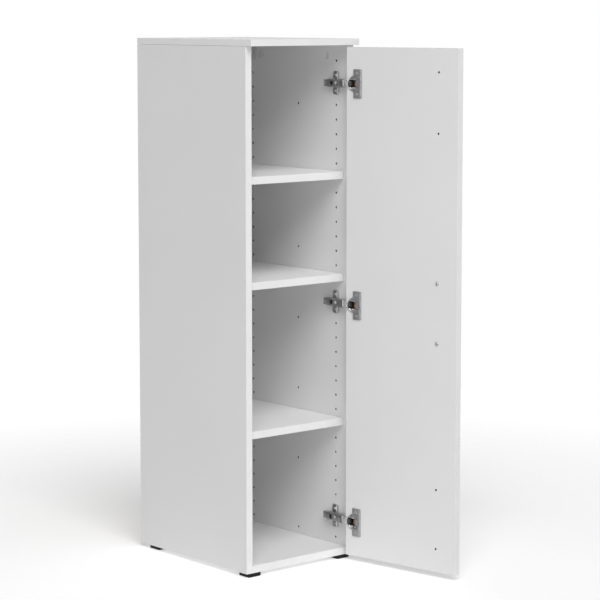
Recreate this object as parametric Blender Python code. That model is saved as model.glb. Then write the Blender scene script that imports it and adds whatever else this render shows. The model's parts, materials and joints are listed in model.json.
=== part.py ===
"""A tall white locker cabinet with one hinged door, three shelves and three concealed cup hinges.

Metres, +Z up, +X to the right and +Y to the back. The carcass is drawn with X = 0 at its middle,
Y = 0 at the side panels' front edges and Z = 0 at their lower edges, and the whole cabinet is moved
at the end so that its origin is under the middle of its box, on the ground. The door is drawn closed
under an empty on its axis, and the empty holds it open.
"""

import math

import bmesh
import bpy
from mathutils import Matrix, Vector

MM = 0.001
GAP = 0.3 * MM

# Boards
CABINET_WIDTH = 300 * MM
SIDE_DEPTH = 381 * MM
SIDE_HEIGHT = 1122 * MM
BOARD = 16 * MM
TOP_BOARD = 14 * MM
BACK_BOARD = 3 * MM
BACK_INSET = 8 * MM
BACK_GROOVE = 6 * MM
GROOVE_CLEARANCE = 0.5 * MM
SHELF_RECESS = 12 * MM
SHELF_END_GAP = 1 * MM

# Rows of holes for shelf pins and hinge plates
HOLE_PITCH = 32 * MM
HOLE_DIAMETER = 5 * MM
HOLE_DEPTH = 10 * MM
HOLE_SIDES = 8
LOWEST_HOLE = 31.8 * MM
HOLES_END_BELOW_TOP = 50 * MM
HOLE_SETBACK = 37 * MM
REAR_ROW_TO_BACK = 50 * MM
MIDDLE_ROW_PITCHES = 4
MIDDLE_ROW_STEP = 5
LOWER_SHELF_HOLE = 8
SHELF_SPACING_HOLES = 7
LOWER_HINGE_HOLE = 1

# Shelf pins
PIN_LEDGE = 7 * MM
PIN_LEDGE_WIDTH = 6 * MM
PIN_LEDGE_HEIGHT = 5 * MM
PIN_IN_HOLE = 9 * MM
SHANK_CLEARANCE = 0.3 * MM

# Feet, cam locks and wall bracket
FOOT_SIZE = 34 * MM
FOOT_HEIGHT = 9 * MM
FOOT_SIDE_INSET = 7 * MM
FOOT_FRONT_INSET = 2 * MM
FOOT_REAR_INSET = 24 * MM
FOOT_PEG_DIAMETER = 8 * MM
FOOT_PEG_LENGTH = 9 * MM
CAM_DIAMETER = 15 * MM
CAM_DEPTH = 12.5 * MM
CAM_BELOW_TOP = 22.5 * MM
CAM_FRONT = 68 * MM
CAM_TO_REAR = 87 * MM
BRACKET_DEPTH = 60 * MM
BRACKET_HEIGHT = 36 * MM
BRACKET_THICKNESS = 2.5 * MM
BRACKET_SLOT = 6 * MM

# Door
DOOR_REVEAL = 2 * MM
DOOR_GAP = 3 * MM
DOOR_TOP_GAP = 3.5 * MM
DOOR_BOTTOM_GAP = 4 * MM
DOOR_OPEN_ANGLE = math.radians(100)
AXIS_FROM_DOOR_EDGE = 10 * MM
AXIS_IN_FRONT = 21.5 * MM

# Cup hinges
CUP_DIAMETER = 35 * MM
CUP_WALL = 1.2 * MM
CUP_DEPTH = 11.6 * MM
CUP_SIDES = 28
CUP_FROM_DOOR_EDGE = 22.5 * MM
FLANGE_NEAR = 19 * MM
FLANGE_WIDTH = 23 * MM
FLANGE_LENGTH = 62 * MM
FLANGE_THICKNESS = 1.5 * MM
ROLLER_DIAMETER = 3.6 * MM
ROLLER_LENGTH = 12.6 * MM
ROLLER_FROM_DOOR_EDGE = 21.5 * MM
ROLLER_BELOW_FACE = 3 * MM
CUP_SLOT_HALF_HEIGHT = 7.8 * MM
CUP_SLOT_WALL = 2.6 * MM
CUP_SLOT_FAR_WALL = 4.2 * MM
PLATE_HEIGHT = 50.5 * MM
PLATE_WING = 19 * MM
PLATE_THICKNESS = 2.4 * MM
PLATE_BLOCK_FRONT = 20 * MM
PLATE_BLOCK_LENGTH = 42 * MM
PLATE_BLOCK_WIDTH = 12 * MM
PLATE_BLOCK_HEIGHT = 9.5 * MM
ARM_FRONT = 5.5 * MM
ARM_REAR = 66 * MM
ARM_WIDTH = 18 * MM
ARM_WALL = 1.6 * MM
ARM_STANDOFF = 14 * MM
ARM_FOOT_GAP = 3.4 * MM
ARM_NOTCH_DEPTH = 7 * MM
ARM_SCREW_TO_HOLES = 12 * MM
LEVER_PANEL_CLEARANCE = 1.4 * MM
LEVER_END = math.radians(157)
LEVER_STEPS = 9
OUTER_LEVER_RADII = (24.2 * MM, 25.7 * MM)
OUTER_LEVER_WIDTH = 14.5 * MM
OUTER_LEVER_SHARE = 0.26
INNER_LEVER_RADIUS = 22.7 * MM
INNER_LEVER_THICKNESS = 2 * MM
INNER_LEVER_DIP = 8.5 * MM
INNER_LEVER_TURN = math.radians(16)
INNER_LEVER_WIDTH = 10.5 * MM
NOSE_START = math.radians(116)
NOSE_END = math.radians(141)
NOSE_STEPS = 5
NOSE_RADII = (26.2 * MM, 27.8 * MM)
SCREW_HEAD_DIAMETER = 7.6 * MM
SCREW_HEAD_HEIGHT = 2 * MM
SCREW_SIDES = 16

# Handle, on the door's outer face
HANDLE_FROM_FREE_EDGE = 51 * MM
HANDLE_CENTRES = 128 * MM
HANDLE_ABOVE_BOTTOM = 556.5 * MM
HANDLE_BAR = 9 * MM
HANDLE_WIDTH = 12 * MM
HANDLE_STANDOFF = 30 * MM
HANDLE_CORNER = 9 * MM
HANDLE_CORNER_STEPS = 5
BOLT_DIAMETER = 4 * MM
BOLT_HEAD_DIAMETER = 8.5 * MM
BOLT_HEAD_HEIGHT = 2.6 * MM
BOLT_IN_HANDLE = 7 * MM

# Worked out from the sizes above
HOLE_COUNT = 1 + int((SIDE_HEIGHT - HOLES_END_BELOW_TOP - LOWEST_HOLE) / HOLE_PITCH)
REAR_ROW_OFFSET = HOLE_PITCH * int((SIDE_DEPTH - HOLE_SETBACK - REAR_ROW_TO_BACK) / HOLE_PITCH)
MIDDLE_ROW_OFFSET = HOLE_PITCH * MIDDLE_ROW_PITCHES
UPPER_SHELF_HOLE = HOLE_COUNT - 1 - SHELF_SPACING_HOLES
SHELF_HOLES = {
    "lower": LOWER_SHELF_HOLE,
    "middle": UPPER_SHELF_HOLE - SHELF_SPACING_HOLES,
    "upper": UPPER_SHELF_HOLE,
}
UPPER_HINGE_HOLE = HOLE_COUNT - 1 - LOWER_HINGE_HOLE
HINGE_HOLES = {
    "lower": LOWER_HINGE_HOLE,
    "middle": (LOWER_HINGE_HOLE + UPPER_HINGE_HOLE) // 2,
    "upper": UPPER_HINGE_HOLE,
}
CAM_PLACES = {"front": CAM_FRONT, "rear": SIDE_DEPTH - CAM_TO_REAR}
HALF_INSIDE = CABINET_WIDTH / 2 - BOARD
BACK_FRONT_FACE = SIDE_DEPTH - BACK_INSET - BACK_BOARD
DOOR_WIDTH = CABINET_WIDTH - 2 * DOOR_REVEAL
DOOR_HEIGHT = SIDE_HEIGHT - DOOR_TOP_GAP - DOOR_BOTTOM_GAP
DOOR_INNER_FACE = -DOOR_GAP
TOP_OVERHANG = BOARD + DOOR_GAP
HINGE_EDGE = CABINET_WIDTH / 2 - DOOR_REVEAL
AXIS = Vector((HINGE_EDGE - AXIS_FROM_DOOR_EDGE, -AXIS_IN_FRONT, 0))
LEVER_START = math.acos((HALF_INSIDE - LEVER_PANEL_CLEARANCE - AXIS.x) / OUTER_LEVER_RADII[0])
INNER_LEVER_SHARE = OUTER_LEVER_SHARE + (LEVER_END - LEVER_START) / DOOR_OPEN_ANGLE


def material(name, colour, roughness, metallic=0.0):
    made = bpy.data.materials.new(name)
    made.use_nodes = True
    shader = made.node_tree.nodes["Principled BSDF"]
    shader.inputs["Base Color"].default_value = (*colour, 1)
    shader.inputs["Roughness"].default_value = roughness
    shader.inputs["Metallic"].default_value = metallic
    return made


def new_object(name, mesh, finish, parent):
    piece = bpy.data.objects.new(name, mesh)
    bpy.context.scene.collection.objects.link(piece)
    piece.data.materials.append(finish)
    piece.parent = parent
    return piece


def mesh_from(name, shape):
    bmesh.ops.recalc_face_normals(shape, faces=shape.faces[:])
    mesh = bpy.data.meshes.new(name)
    shape.to_mesh(mesh)
    shape.free()
    return mesh


def box_mesh(name, low, high):
    low, high = Vector(low), Vector(high)
    shape = bmesh.new()
    place = Matrix.Translation((low + high) / 2) @ Matrix.Diagonal((*(high - low), 1))
    bmesh.ops.create_cube(shape, size=1, matrix=place)
    return mesh_from(name, shape)


def box(name, low, high, finish, parent):
    return new_object(name, box_mesh(name, low, high), finish, parent)


def rod_mesh(name, radius, start, end, sides):
    """A round bar from start to end, a flat side's edge facing the same way on every bar."""
    start, end = Vector(start), Vector(end)
    turn = (end - start).to_track_quat("Z", "Y").to_matrix().to_4x4()
    shape = bmesh.new()
    bmesh.ops.create_cone(
        shape,
        cap_ends=True,
        segments=sides,
        radius1=radius,
        radius2=radius,
        depth=(end - start).length,
        matrix=Matrix.Translation((start + end) / 2) @ turn,
    )
    return mesh_from(name, shape)


def rod(name, radius, start, end, sides, finish, parent):
    return new_object(name, rod_mesh(name, radius, start, end, sides), finish, parent)


def prism_mesh(name, outline, direction):
    """A closed outline of points, pushed along direction."""
    shape = bmesh.new()
    face = shape.faces.new([shape.verts.new(point) for point in outline])
    pushed = bmesh.ops.extrude_face_region(shape, geom=[face])
    corners = [item for item in pushed["geom"] if isinstance(item, bmesh.types.BMVert)]
    bmesh.ops.translate(shape, verts=corners, vec=direction)
    return mesh_from(name, shape)


def guide(mesh, parent):
    """A shape that only cuts or adds to another, and is no piece itself."""
    helper = bpy.data.objects.new(mesh.name, mesh)
    bpy.context.scene.collection.objects.link(helper)
    helper.parent = parent
    helper.hide_render = True
    helper.display_type = "WIRE"
    return helper


def combine(piece, mesh, operation="DIFFERENCE"):
    boolean = piece.modifiers.new(mesh.name, "BOOLEAN")
    boolean.operation = operation
    boolean.object = guide(mesh, piece.parent)


def joined(name, meshes):
    """Shapes that stay clear of each other, in one mesh."""
    shape = bmesh.new()
    for mesh in meshes:
        shape.from_mesh(mesh)
    return mesh_from(name, shape)


def empty(name, parent, location=(0, 0, 0), turned=0.0):
    axis = bpy.data.objects.new(name, None)
    bpy.context.scene.collection.objects.link(axis)
    axis.parent = parent
    axis.location = location
    axis.rotation_euler = (0, 0, turned)
    return axis


def hole_height(index):
    return LOWEST_HOLE + index * HOLE_PITCH


def hole_places():
    """(distance from the front edge, height) of every hole in a side panel."""
    for index in range(HOLE_COUNT):
        yield HOLE_SETBACK, hole_height(index)
        yield HOLE_SETBACK + REAR_ROW_OFFSET, hole_height(index)
    for index in range(0, HOLE_COUNT, MIDDLE_ROW_STEP):
        yield HOLE_SETBACK + MIDDLE_ROW_OFFSET, hole_height(index)


def make_side_panel(name, side, finish, parent):
    """side is +1 for the right panel and -1 for the left one."""
    inner, outer = side * HALF_INSIDE, side * (HALF_INSIDE + BOARD)
    low, high = min(inner, outer), max(inner, outer)
    panel = box(name, (low, 0, 0), (high, SIDE_DEPTH, SIDE_HEIGHT), finish, parent)
    past, bottom = inner - side * MM, inner + side * HOLE_DEPTH
    holes = [
        rod_mesh("hole", HOLE_DIAMETER / 2, (past, y, z), (bottom, y, z), HOLE_SIDES)
        for y, z in hole_places()
    ]
    combine(panel, joined(name + "_holes", holes))
    cams = [
        rod_mesh(
            "cam_hole",
            CAM_DIAMETER / 2 + GAP,
            (past, y, SIDE_HEIGHT - CAM_BELOW_TOP),
            (inner + side * (CAM_DEPTH + GAP), y, SIDE_HEIGHT - CAM_BELOW_TOP),
            SCREW_SIDES,
        )
        for y in CAM_PLACES.values()
    ]
    combine(panel, joined(name + "_cam_holes", cams))
    groove_end = inner + side * (BACK_GROOVE + GROOVE_CLEARANCE)
    groove = box_mesh(
        name + "_groove",
        (min(past, groove_end), BACK_FRONT_FACE - GAP, -MM),
        (max(past, groove_end), BACK_FRONT_FACE + BACK_BOARD + GAP, SIDE_HEIGHT + MM),
    )
    combine(panel, groove)
    pegs = [
        rod_mesh("peg_hole", FOOT_PEG_DIAMETER / 2 + GAP, (x, y, -MM),
                 (x, y, FOOT_PEG_LENGTH + GAP), SCREW_SIDES)
        for x, y in foot_places(side)
    ]
    combine(panel, joined(name + "_peg_holes", pegs))


def make_carcass(white, hardboard, parent):
    make_side_panel("left_side_panel", -1, white, parent)
    make_side_panel("right_side_panel", 1, white, parent)
    box(
        "top_panel",
        (-CABINET_WIDTH / 2, -TOP_OVERHANG, SIDE_HEIGHT + GAP),
        (CABINET_WIDTH / 2, SIDE_DEPTH, SIDE_HEIGHT + TOP_BOARD),
        white,
        parent,
    )
    inside = HALF_INSIDE - GAP
    box(
        "bottom_panel",
        (-inside, 0, 0),
        (inside, BACK_FRONT_FACE - GAP, BOARD),
        white,
        parent,
    )
    across = HALF_INSIDE + BACK_GROOVE
    box(
        "back_panel",
        (-across, BACK_FRONT_FACE, 0),
        (across, BACK_FRONT_FACE + BACK_BOARD, SIDE_HEIGHT),
        hardboard,
        parent,
    )


def make_shelves(white, plastic, parent):
    half = HALF_INSIDE - SHELF_END_GAP
    for name, index in SHELF_HOLES.items():
        under = hole_height(index)
        box(
            f"shelf_{name}",
            (-half, SHELF_RECESS, under),
            (half, BACK_FRONT_FACE - SHELF_END_GAP, under + BOARD),
            white,
            parent,
        )
        for side, side_name in ((-1, "left"), (1, "right")):
            for y, row in ((HOLE_SETBACK, "front"), (HOLE_SETBACK + REAR_ROW_OFFSET, "rear")):
                make_shelf_pin(f"pin_{name}_{side_name}_{row}", side, y, under, plastic, parent)


def make_shelf_pin(name, side, y, height, plastic, parent):
    """A flat ledge under the shelf, on a shank in the side panel's hole."""
    wall = side * (HALF_INSIDE - GAP)
    tip = wall - side * PIN_LEDGE
    pin = box(
        name,
        (min(wall, tip), y - PIN_LEDGE_WIDTH / 2, height - GAP - PIN_LEDGE_HEIGHT),
        (max(wall, tip), y + PIN_LEDGE_WIDTH / 2, height - GAP),
        plastic,
        parent,
    )
    shank = rod_mesh(
        name + "_shank",
        HOLE_DIAMETER / 2 - SHANK_CLEARANCE,
        (wall - side * SHANK_CLEARANCE, y, height),
        (wall + side * PIN_IN_HOLE, y, height),
        HOLE_SIDES,
    )
    combine(pin, shank, "UNION")


def foot_places(side):
    """The middles of one side panel's front and rear feet."""
    x = side * (CABINET_WIDTH / 2 - FOOT_SIDE_INSET)
    peg_x = x - side * (FOOT_PEG_DIAMETER / 2 + MM)
    return (
        (peg_x, FOOT_FRONT_INSET + FOOT_SIZE / 2),
        (peg_x, SIDE_DEPTH - FOOT_REAR_INSET - FOOT_SIZE / 2),
    )


def make_feet(black, parent):
    for side, side_name in ((-1, "left"), (1, "right")):
        outer = side * (CABINET_WIDTH / 2 - FOOT_SIDE_INSET)
        inner = outer - side * FOOT_SIZE
        for (x, y), row in zip(foot_places(side), ("front", "rear")):
            foot = box(
                f"foot_{row}_{side_name}",
                (min(inner, outer), y - FOOT_SIZE / 2, -FOOT_HEIGHT),
                (max(inner, outer), y + FOOT_SIZE / 2, -GAP),
                black,
                parent,
            )
            peg = rod_mesh(foot.name + "_peg", FOOT_PEG_DIAMETER / 2, (x, y, -MM),
                           (x, y, FOOT_PEG_LENGTH), SCREW_SIDES)
            combine(foot, peg, "UNION")


def make_cams_and_bracket(plastic, steel, parent):
    height = SIDE_HEIGHT - CAM_BELOW_TOP
    for side, side_name in ((-1, "left"), (1, "right")):
        face = side * HALF_INSIDE
        for row, y in CAM_PLACES.items():
            rod(f"cam_lock_{row}_{side_name}", CAM_DIAMETER / 2, (face - side * GAP, y, height),
                (face + side * CAM_DEPTH, y, height), SCREW_SIDES, plastic, parent)
    rear = BACK_FRONT_FACE - GAP
    high = SIDE_HEIGHT - GAP
    low_x, high_x = HALF_INSIDE - GAP - BRACKET_THICKNESS, HALF_INSIDE - GAP
    bracket = box(
        "wall_bracket",
        (low_x, rear - BRACKET_DEPTH, high - BRACKET_HEIGHT),
        (high_x, rear, high),
        steel,
        parent,
    )
    slot_y = rear - BRACKET_DEPTH + 1.5 * BRACKET_SLOT
    slot_z = high - BRACKET_HEIGHT / 2
    slot = rod_mesh("bracket_hole", BRACKET_SLOT / 2, (low_x - MM, slot_y, slot_z),
                    (high_x + MM, slot_y, slot_z), SCREW_SIDES)
    combine(bracket, slot)


def hinge_height(name):
    """The middle of the two holes that a hinge's plate is screwed to."""
    return hole_height(HINGE_HOLES[name]) + HOLE_PITCH / 2


def lever_mesh(name, radii, width, height, start, end, steps):
    """A curved strip about the door's axis, drawn with the door closed."""
    inner, outer = radii
    angles = [start + (end - start) * step / steps for step in range(steps + 1)]
    low = height - width / 2
    outline = [(outer * math.cos(a), outer * math.sin(a), low) for a in angles]
    outline += [(inner * math.cos(a), inner * math.sin(a), low) for a in reversed(angles)]
    return prism_mesh(name, outline, (0, 0, width))


def dipping_lever_mesh(name, height, start):
    """A strip that starts along the outer lever's circle and dips into the cup, the door closed."""
    middles = []
    for step in range(LEVER_STEPS + 1):
        share = step / LEVER_STEPS
        angle = start + INNER_LEVER_TURN * share
        radius = INNER_LEVER_RADIUS - INNER_LEVER_DIP * share**2
        middles.append(Vector((radius * math.cos(angle), radius * math.sin(angle), 0)))
    sides = []
    for step, middle in enumerate(middles):
        along = middles[min(step + 1, LEVER_STEPS)] - middles[max(step - 1, 0)]
        across = along.normalized().cross(Vector((0, 0, 1))) * INNER_LEVER_THICKNESS / 2
        sides.append((middle + across, middle - across))
    low = Vector((0, 0, height - INNER_LEVER_WIDTH / 2))
    outline = [near + low for near, _ in sides] + [far + low for _, far in reversed(sides)]
    return prism_mesh(name, outline, (0, 0, INNER_LEVER_WIDTH))


def make_hinge_plate(name, height, steel, parent):
    """A cross of sheet with a raised block, screwed to the right side panel."""
    wall = HALF_INSIDE - GAP
    front_wing = HOLE_SETBACK - PLATE_WING / 2
    plate = box(
        f"mounting_plate_{name}",
        (wall - PLATE_THICKNESS, front_wing, height - PLATE_HEIGHT / 2),
        (wall, front_wing + PLATE_WING, height + PLATE_HEIGHT / 2),
        steel,
        parent,
    )
    block = box_mesh(
        plate.name + "_block",
        (wall - PLATE_BLOCK_HEIGHT, PLATE_BLOCK_FRONT, height - PLATE_BLOCK_WIDTH / 2),
        (wall - GAP, PLATE_BLOCK_FRONT + PLATE_BLOCK_LENGTH, height + PLATE_BLOCK_WIDTH / 2),
    )
    combine(plate, block, "UNION")
    shank_holes = []
    for level, sign in (("lower", -1), ("upper", 1)):
        z = height + sign * HOLE_PITCH / 2
        shank_radius = HOLE_DIAMETER / 2 - SHANK_CLEARANCE
        shank_holes.append(rod_mesh("screw_hole", shank_radius + SHANK_CLEARANCE,
                                    (wall - 2 * PLATE_THICKNESS, HOLE_SETBACK, z),
                                    (wall + MM, HOLE_SETBACK, z), HOLE_SIDES))
        head_back = wall - PLATE_THICKNESS - GAP
        screw = rod(f"plate_screw_{name}_{level}", SCREW_HEAD_DIAMETER / 2,
                    (head_back - SCREW_HEAD_HEIGHT, HOLE_SETBACK, z),
                    (head_back, HOLE_SETBACK, z), SCREW_SIDES, steel, parent)
        shank = rod_mesh(screw.name + "_shank", shank_radius, (head_back - MM, HOLE_SETBACK, z),
                         (wall + PIN_IN_HOLE, HOLE_SETBACK, z), HOLE_SIDES)
        combine(screw, shank, "UNION")
    combine(plate, joined(plate.name + "_screw_holes", shank_holes))


def make_hinge_arm(name, height, steel, parent):
    """A channel over the plate's block, with a nose that curves out towards the door."""
    wall = HALF_INSIDE
    top = wall - ARM_STANDOFF
    half = ARM_WIDTH / 2
    arm = box(
        f"hinge_arm_{name}",
        (top, ARM_FRONT, height - half),
        (wall - ARM_FOOT_GAP, ARM_REAR, height + half),
        steel,
        parent,
    )
    hollow = box_mesh(
        arm.name + "_hollow",
        (top + ARM_WALL, ARM_FRONT - MM, height - half + ARM_WALL),
        (wall, ARM_REAR + MM, height + half - ARM_WALL),
    )
    combine(arm, hollow)
    notch_half = half - 2 * ARM_WALL
    notch = [
        (top - MM, ARM_REAR + MM, height - notch_half),
        (top - MM, ARM_REAR - ARM_NOTCH_DEPTH, height),
        (top - MM, ARM_REAR + MM, height + notch_half),
    ]
    combine(arm, prism_mesh(arm.name + "_notch", notch, (2 * ARM_WALL, 0, 0)))
    nose = lever_mesh(arm.name + "_nose", NOSE_RADII, ARM_WIDTH - 2 * ARM_WALL, height,
                      NOSE_START, NOSE_END, NOSE_STEPS)
    nose.transform(Matrix.Translation(AXIS))
    combine(arm, nose, "UNION")
    nose_x = AXIS.x + NOSE_RADII[0] * math.cos(NOSE_START)
    nose_y = AXIS.y + NOSE_RADII[0] * math.sin(NOSE_START)
    web = box_mesh(
        arm.name + "_web",
        (top, nose_y + GAP, height - half + ARM_WALL),
        (nose_x, ARM_FRONT + MM, height + half - ARM_WALL),
    )
    combine(arm, web, "UNION")
    screw_y = HOLE_SETBACK - ARM_SCREW_TO_HOLES
    shank_radius = HOLE_DIAMETER / 2 - SHANK_CLEARANCE
    screw_hole = rod_mesh(arm.name + "_screw_hole", HOLE_DIAMETER / 2, (top - MM, screw_y, height),
                          (top + 2 * ARM_WALL, screw_y, height), HOLE_SIDES)
    combine(arm, screw_hole)
    block_top = HALF_INSIDE - GAP - PLATE_BLOCK_HEIGHT
    screw = rod(f"arm_screw_{name}", SCREW_HEAD_DIAMETER / 2,
                (top - GAP - SCREW_HEAD_HEIGHT, screw_y, height), (top - GAP, screw_y, height),
                SCREW_SIDES, steel, parent)
    shank = rod_mesh(screw.name + "_shank", shank_radius, (top - GAP - MM, screw_y, height),
                     (block_top - GAP, screw_y, height), HOLE_SIDES)
    combine(screw, shank, "UNION")


def make_hinge_cup(name, height, steel, copper, door_axis):
    """Drawn with the door closed, in the door axis's frame."""
    edge, face = AXIS_FROM_DOOR_EDGE, AXIS_IN_FRONT - DOOR_GAP
    middle = edge - CUP_FROM_DOOR_EDGE
    flange_right = edge - FLANGE_NEAR
    cup = box(
        f"hinge_cup_{name}",
        (flange_right - FLANGE_WIDTH, face + GAP, height - FLANGE_LENGTH / 2),
        (flange_right, face + GAP + FLANGE_THICKNESS, height + FLANGE_LENGTH / 2),
        steel,
        door_axis,
    )
    radius = CUP_DIAMETER / 2
    lip = face + GAP + FLANGE_THICKNESS
    barrel = rod_mesh(cup.name + "_barrel", radius, (middle, lip, height),
                      (middle, face - CUP_DEPTH, height), CUP_SIDES)
    combine(cup, barrel, "UNION")
    hollow = box_mesh(
        cup.name + "_hollow",
        (middle - radius + CUP_SLOT_FAR_WALL, face - CUP_DEPTH + CUP_WALL, height - CUP_SLOT_HALF_HEIGHT),
        (middle + radius - CUP_SLOT_WALL, lip + MM, height + CUP_SLOT_HALF_HEIGHT),
    )
    combine(cup, hollow)
    roller_x, roller_y = edge - ROLLER_FROM_DOOR_EDGE, face - ROLLER_BELOW_FACE
    rod(f"cup_roller_{name}", ROLLER_DIAMETER / 2,
        (roller_x, roller_y, height - ROLLER_LENGTH / 2),
        (roller_x, roller_y, height + ROLLER_LENGTH / 2), SCREW_SIDES, copper, door_axis)


def make_hinges(steel, chrome, copper, parent, door_axis):
    outer_axis = empty("outer_lever_axis", parent, AXIS, DOOR_OPEN_ANGLE * OUTER_LEVER_SHARE)
    inner_axis = empty("inner_lever_axis", parent, AXIS, DOOR_OPEN_ANGLE * INNER_LEVER_SHARE)
    for name in HINGE_HOLES:
        height = hinge_height(name)
        make_hinge_plate(name, height, steel, parent)
        make_hinge_arm(name, height, steel, parent)
        make_hinge_cup(name, height, steel, copper, door_axis)
        outer = lever_mesh(f"outer_lever_{name}", OUTER_LEVER_RADII, OUTER_LEVER_WIDTH, height,
                           LEVER_START, LEVER_END, LEVER_STEPS)
        new_object(outer.name, outer, chrome, outer_axis)
        inner = dipping_lever_mesh(f"inner_lever_{name}", height, LEVER_START)
        new_object(inner.name, inner, chrome, inner_axis)


def handle_outline(x, face, middle):
    """The bow seen from the side: two legs on the door's outer face, with a bar between them."""
    half = HANDLE_CENTRES / 2 + HANDLE_BAR / 2
    far = face - HANDLE_STANDOFF
    points = [(x, face, middle - half)]
    points += corner_arc(x, far, middle, half, HANDLE_CORNER, -1)
    points += corner_arc(x, far, middle, half, HANDLE_CORNER, 1)[::-1]
    points += [(x, face, middle + half), (x, face, middle + half - HANDLE_BAR)]
    inner_half, inner_far = half - HANDLE_BAR, far + HANDLE_BAR
    inner_corner = HANDLE_CORNER / 2
    points += corner_arc(x, inner_far, middle, inner_half, inner_corner, 1)
    points += corner_arc(x, inner_far, middle, inner_half, inner_corner, -1)[::-1]
    points += [(x, face, middle - half + HANDLE_BAR)]
    return points


def corner_arc(x, far, middle, half, radius, sign):
    """A rounded corner from the leg's side round to the bar's face."""
    centre_y, centre_z = far + radius, middle + sign * (half - radius)
    arc = []
    for step in range(HANDLE_CORNER_STEPS + 1):
        angle = math.pi / 2 * step / HANDLE_CORNER_STEPS
        arc.append((x, centre_y - radius * math.sin(angle), centre_z + sign * radius * math.cos(angle)))
    return arc


def make_door(white, metal, steel, door_axis):
    edge, face = AXIS_FROM_DOOR_EDGE, AXIS_IN_FRONT - DOOR_GAP
    outer_face = face - BOARD
    door = box(
        "door_panel",
        (edge - DOOR_WIDTH, outer_face, DOOR_BOTTOM_GAP),
        (edge, face, DOOR_BOTTOM_GAP + DOOR_HEIGHT),
        white,
        door_axis,
    )
    middle = edge - CUP_FROM_DOOR_EDGE
    pockets = [
        rod_mesh("cup_pocket", CUP_DIAMETER / 2 + GAP, (middle, face + MM, hinge_height(name)),
                 (middle, face - CUP_DEPTH - GAP, hinge_height(name)), CUP_SIDES)
        for name in HINGE_HOLES
    ]
    combine(door, joined("door_cup_pockets", pockets))
    bolt_x = edge - DOOR_WIDTH + HANDLE_FROM_FREE_EDGE
    handle_middle = DOOR_BOTTOM_GAP + HANDLE_ABOVE_BOTTOM
    outline = handle_outline(bolt_x - HANDLE_WIDTH / 2, outer_face - GAP, handle_middle)
    handle_shape = prism_mesh("door_handle", outline, (HANDLE_WIDTH, 0, 0))
    handle = new_object("door_handle", handle_shape, metal, door_axis)
    bolt_holes, threads = [], []
    for level, sign in (("lower", -1), ("upper", 1)):
        z = handle_middle + sign * HANDLE_CENTRES / 2
        bolt_holes.append(rod_mesh("bolt_hole", BOLT_DIAMETER / 2 + GAP, (bolt_x, face + MM, z),
                                   (bolt_x, outer_face - MM, z), SCREW_SIDES))
        bolt_end = outer_face - GAP - BOLT_IN_HANDLE
        threads.append(rod_mesh("thread", BOLT_DIAMETER / 2 + GAP, (bolt_x, outer_face, z),
                                (bolt_x, bolt_end - GAP, z), SCREW_SIDES))
        bolt = rod(f"handle_bolt_{level}", BOLT_HEAD_DIAMETER / 2,
                   (bolt_x, face + GAP + BOLT_HEAD_HEIGHT, z), (bolt_x, face + GAP, z),
                   SCREW_SIDES, steel, door_axis)
        shank = rod_mesh(bolt.name + "_shank", BOLT_DIAMETER / 2, (bolt_x, face + GAP + MM, z),
                         (bolt_x, bolt_end, z), SCREW_SIDES)
        combine(bolt, shank, "UNION")
    combine(door, joined("door_bolt_holes", bolt_holes))
    combine(handle, joined("handle_threads", threads))


def stand_on_origin(cabinet):
    """Moves the cabinet so that the middle of its box's underside is at the origin."""
    bpy.context.view_layer.update()
    corners = [
        piece.matrix_world @ Vector(corner)
        for piece in bpy.context.scene.objects
        if piece.type == "MESH" and not piece.hide_render
        for corner in piece.bound_box
    ]
    low = Vector(min(corner[i] for corner in corners) for i in range(3))
    high = Vector(max(corner[i] for corner in corners) for i in range(3))
    cabinet.location -= Vector(((low.x + high.x) / 2, (low.y + high.y) / 2, low.z))


def main():
    for existing in list(bpy.data.objects):
        bpy.data.objects.remove(existing, do_unlink=True)
    white = material("white_laminate", (0.86, 0.86, 0.86), 0.45)
    hardboard = material("white_hardboard", (0.8, 0.8, 0.8), 0.6)
    plastic = material("white_plastic", (0.82, 0.82, 0.82), 0.4)
    black = material("black_plastic", (0.02, 0.02, 0.02), 0.5)
    steel = material("galvanised_steel", (0.5, 0.5, 0.5), 0.35, 1)
    chrome = material("bright_lever_steel", (0.8, 0.8, 0.8), 0.15, 1)
    copper = material("copper_roller", (0.35, 0.16, 0.06), 0.35, 1)
    metal = material("brushed_handle", (0.6, 0.6, 0.6), 0.3, 1)
    cabinet = empty("cabinet", None)
    door_axis = empty("door_axis", cabinet, AXIS, DOOR_OPEN_ANGLE)
    make_carcass(white, hardboard, cabinet)
    make_shelves(white, plastic, cabinet)
    make_feet(black, cabinet)
    make_cams_and_bracket(plastic, steel, cabinet)
    make_hinges(steel, chrome, copper, cabinet, door_axis)
    make_door(white, metal, steel, door_axis)
    stand_on_origin(cabinet)


main()
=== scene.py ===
"""The looks of a tall white locker cabinet with one open door on three cup hinges.

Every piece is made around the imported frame, in metres, in the frame's own coordinates. What is fixed
to the door is drawn with the door closed, about the door's axis, and is then turned to its rest place.
"""

import json
import math

import bmesh
import bpy
from mathutils import Matrix, Vector


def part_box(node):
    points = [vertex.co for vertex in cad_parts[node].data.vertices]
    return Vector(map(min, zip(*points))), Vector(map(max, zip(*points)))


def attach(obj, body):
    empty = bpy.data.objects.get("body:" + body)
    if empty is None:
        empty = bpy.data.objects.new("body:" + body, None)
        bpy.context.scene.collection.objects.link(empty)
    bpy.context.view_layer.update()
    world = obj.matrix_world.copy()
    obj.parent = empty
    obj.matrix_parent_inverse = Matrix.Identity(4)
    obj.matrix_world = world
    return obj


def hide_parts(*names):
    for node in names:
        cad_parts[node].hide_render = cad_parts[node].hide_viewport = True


bl_info = {
    "name": "Locker Cabinet",
    "version": (1, 0, 0),
    "blender": (4, 5, 0),
    "location": "3D View > Sidebar > Cabinet",
    "description": "Makes a white locker cabinet with shelves and a hinged door, and its studio",
    "category": "Object",
}

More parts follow.
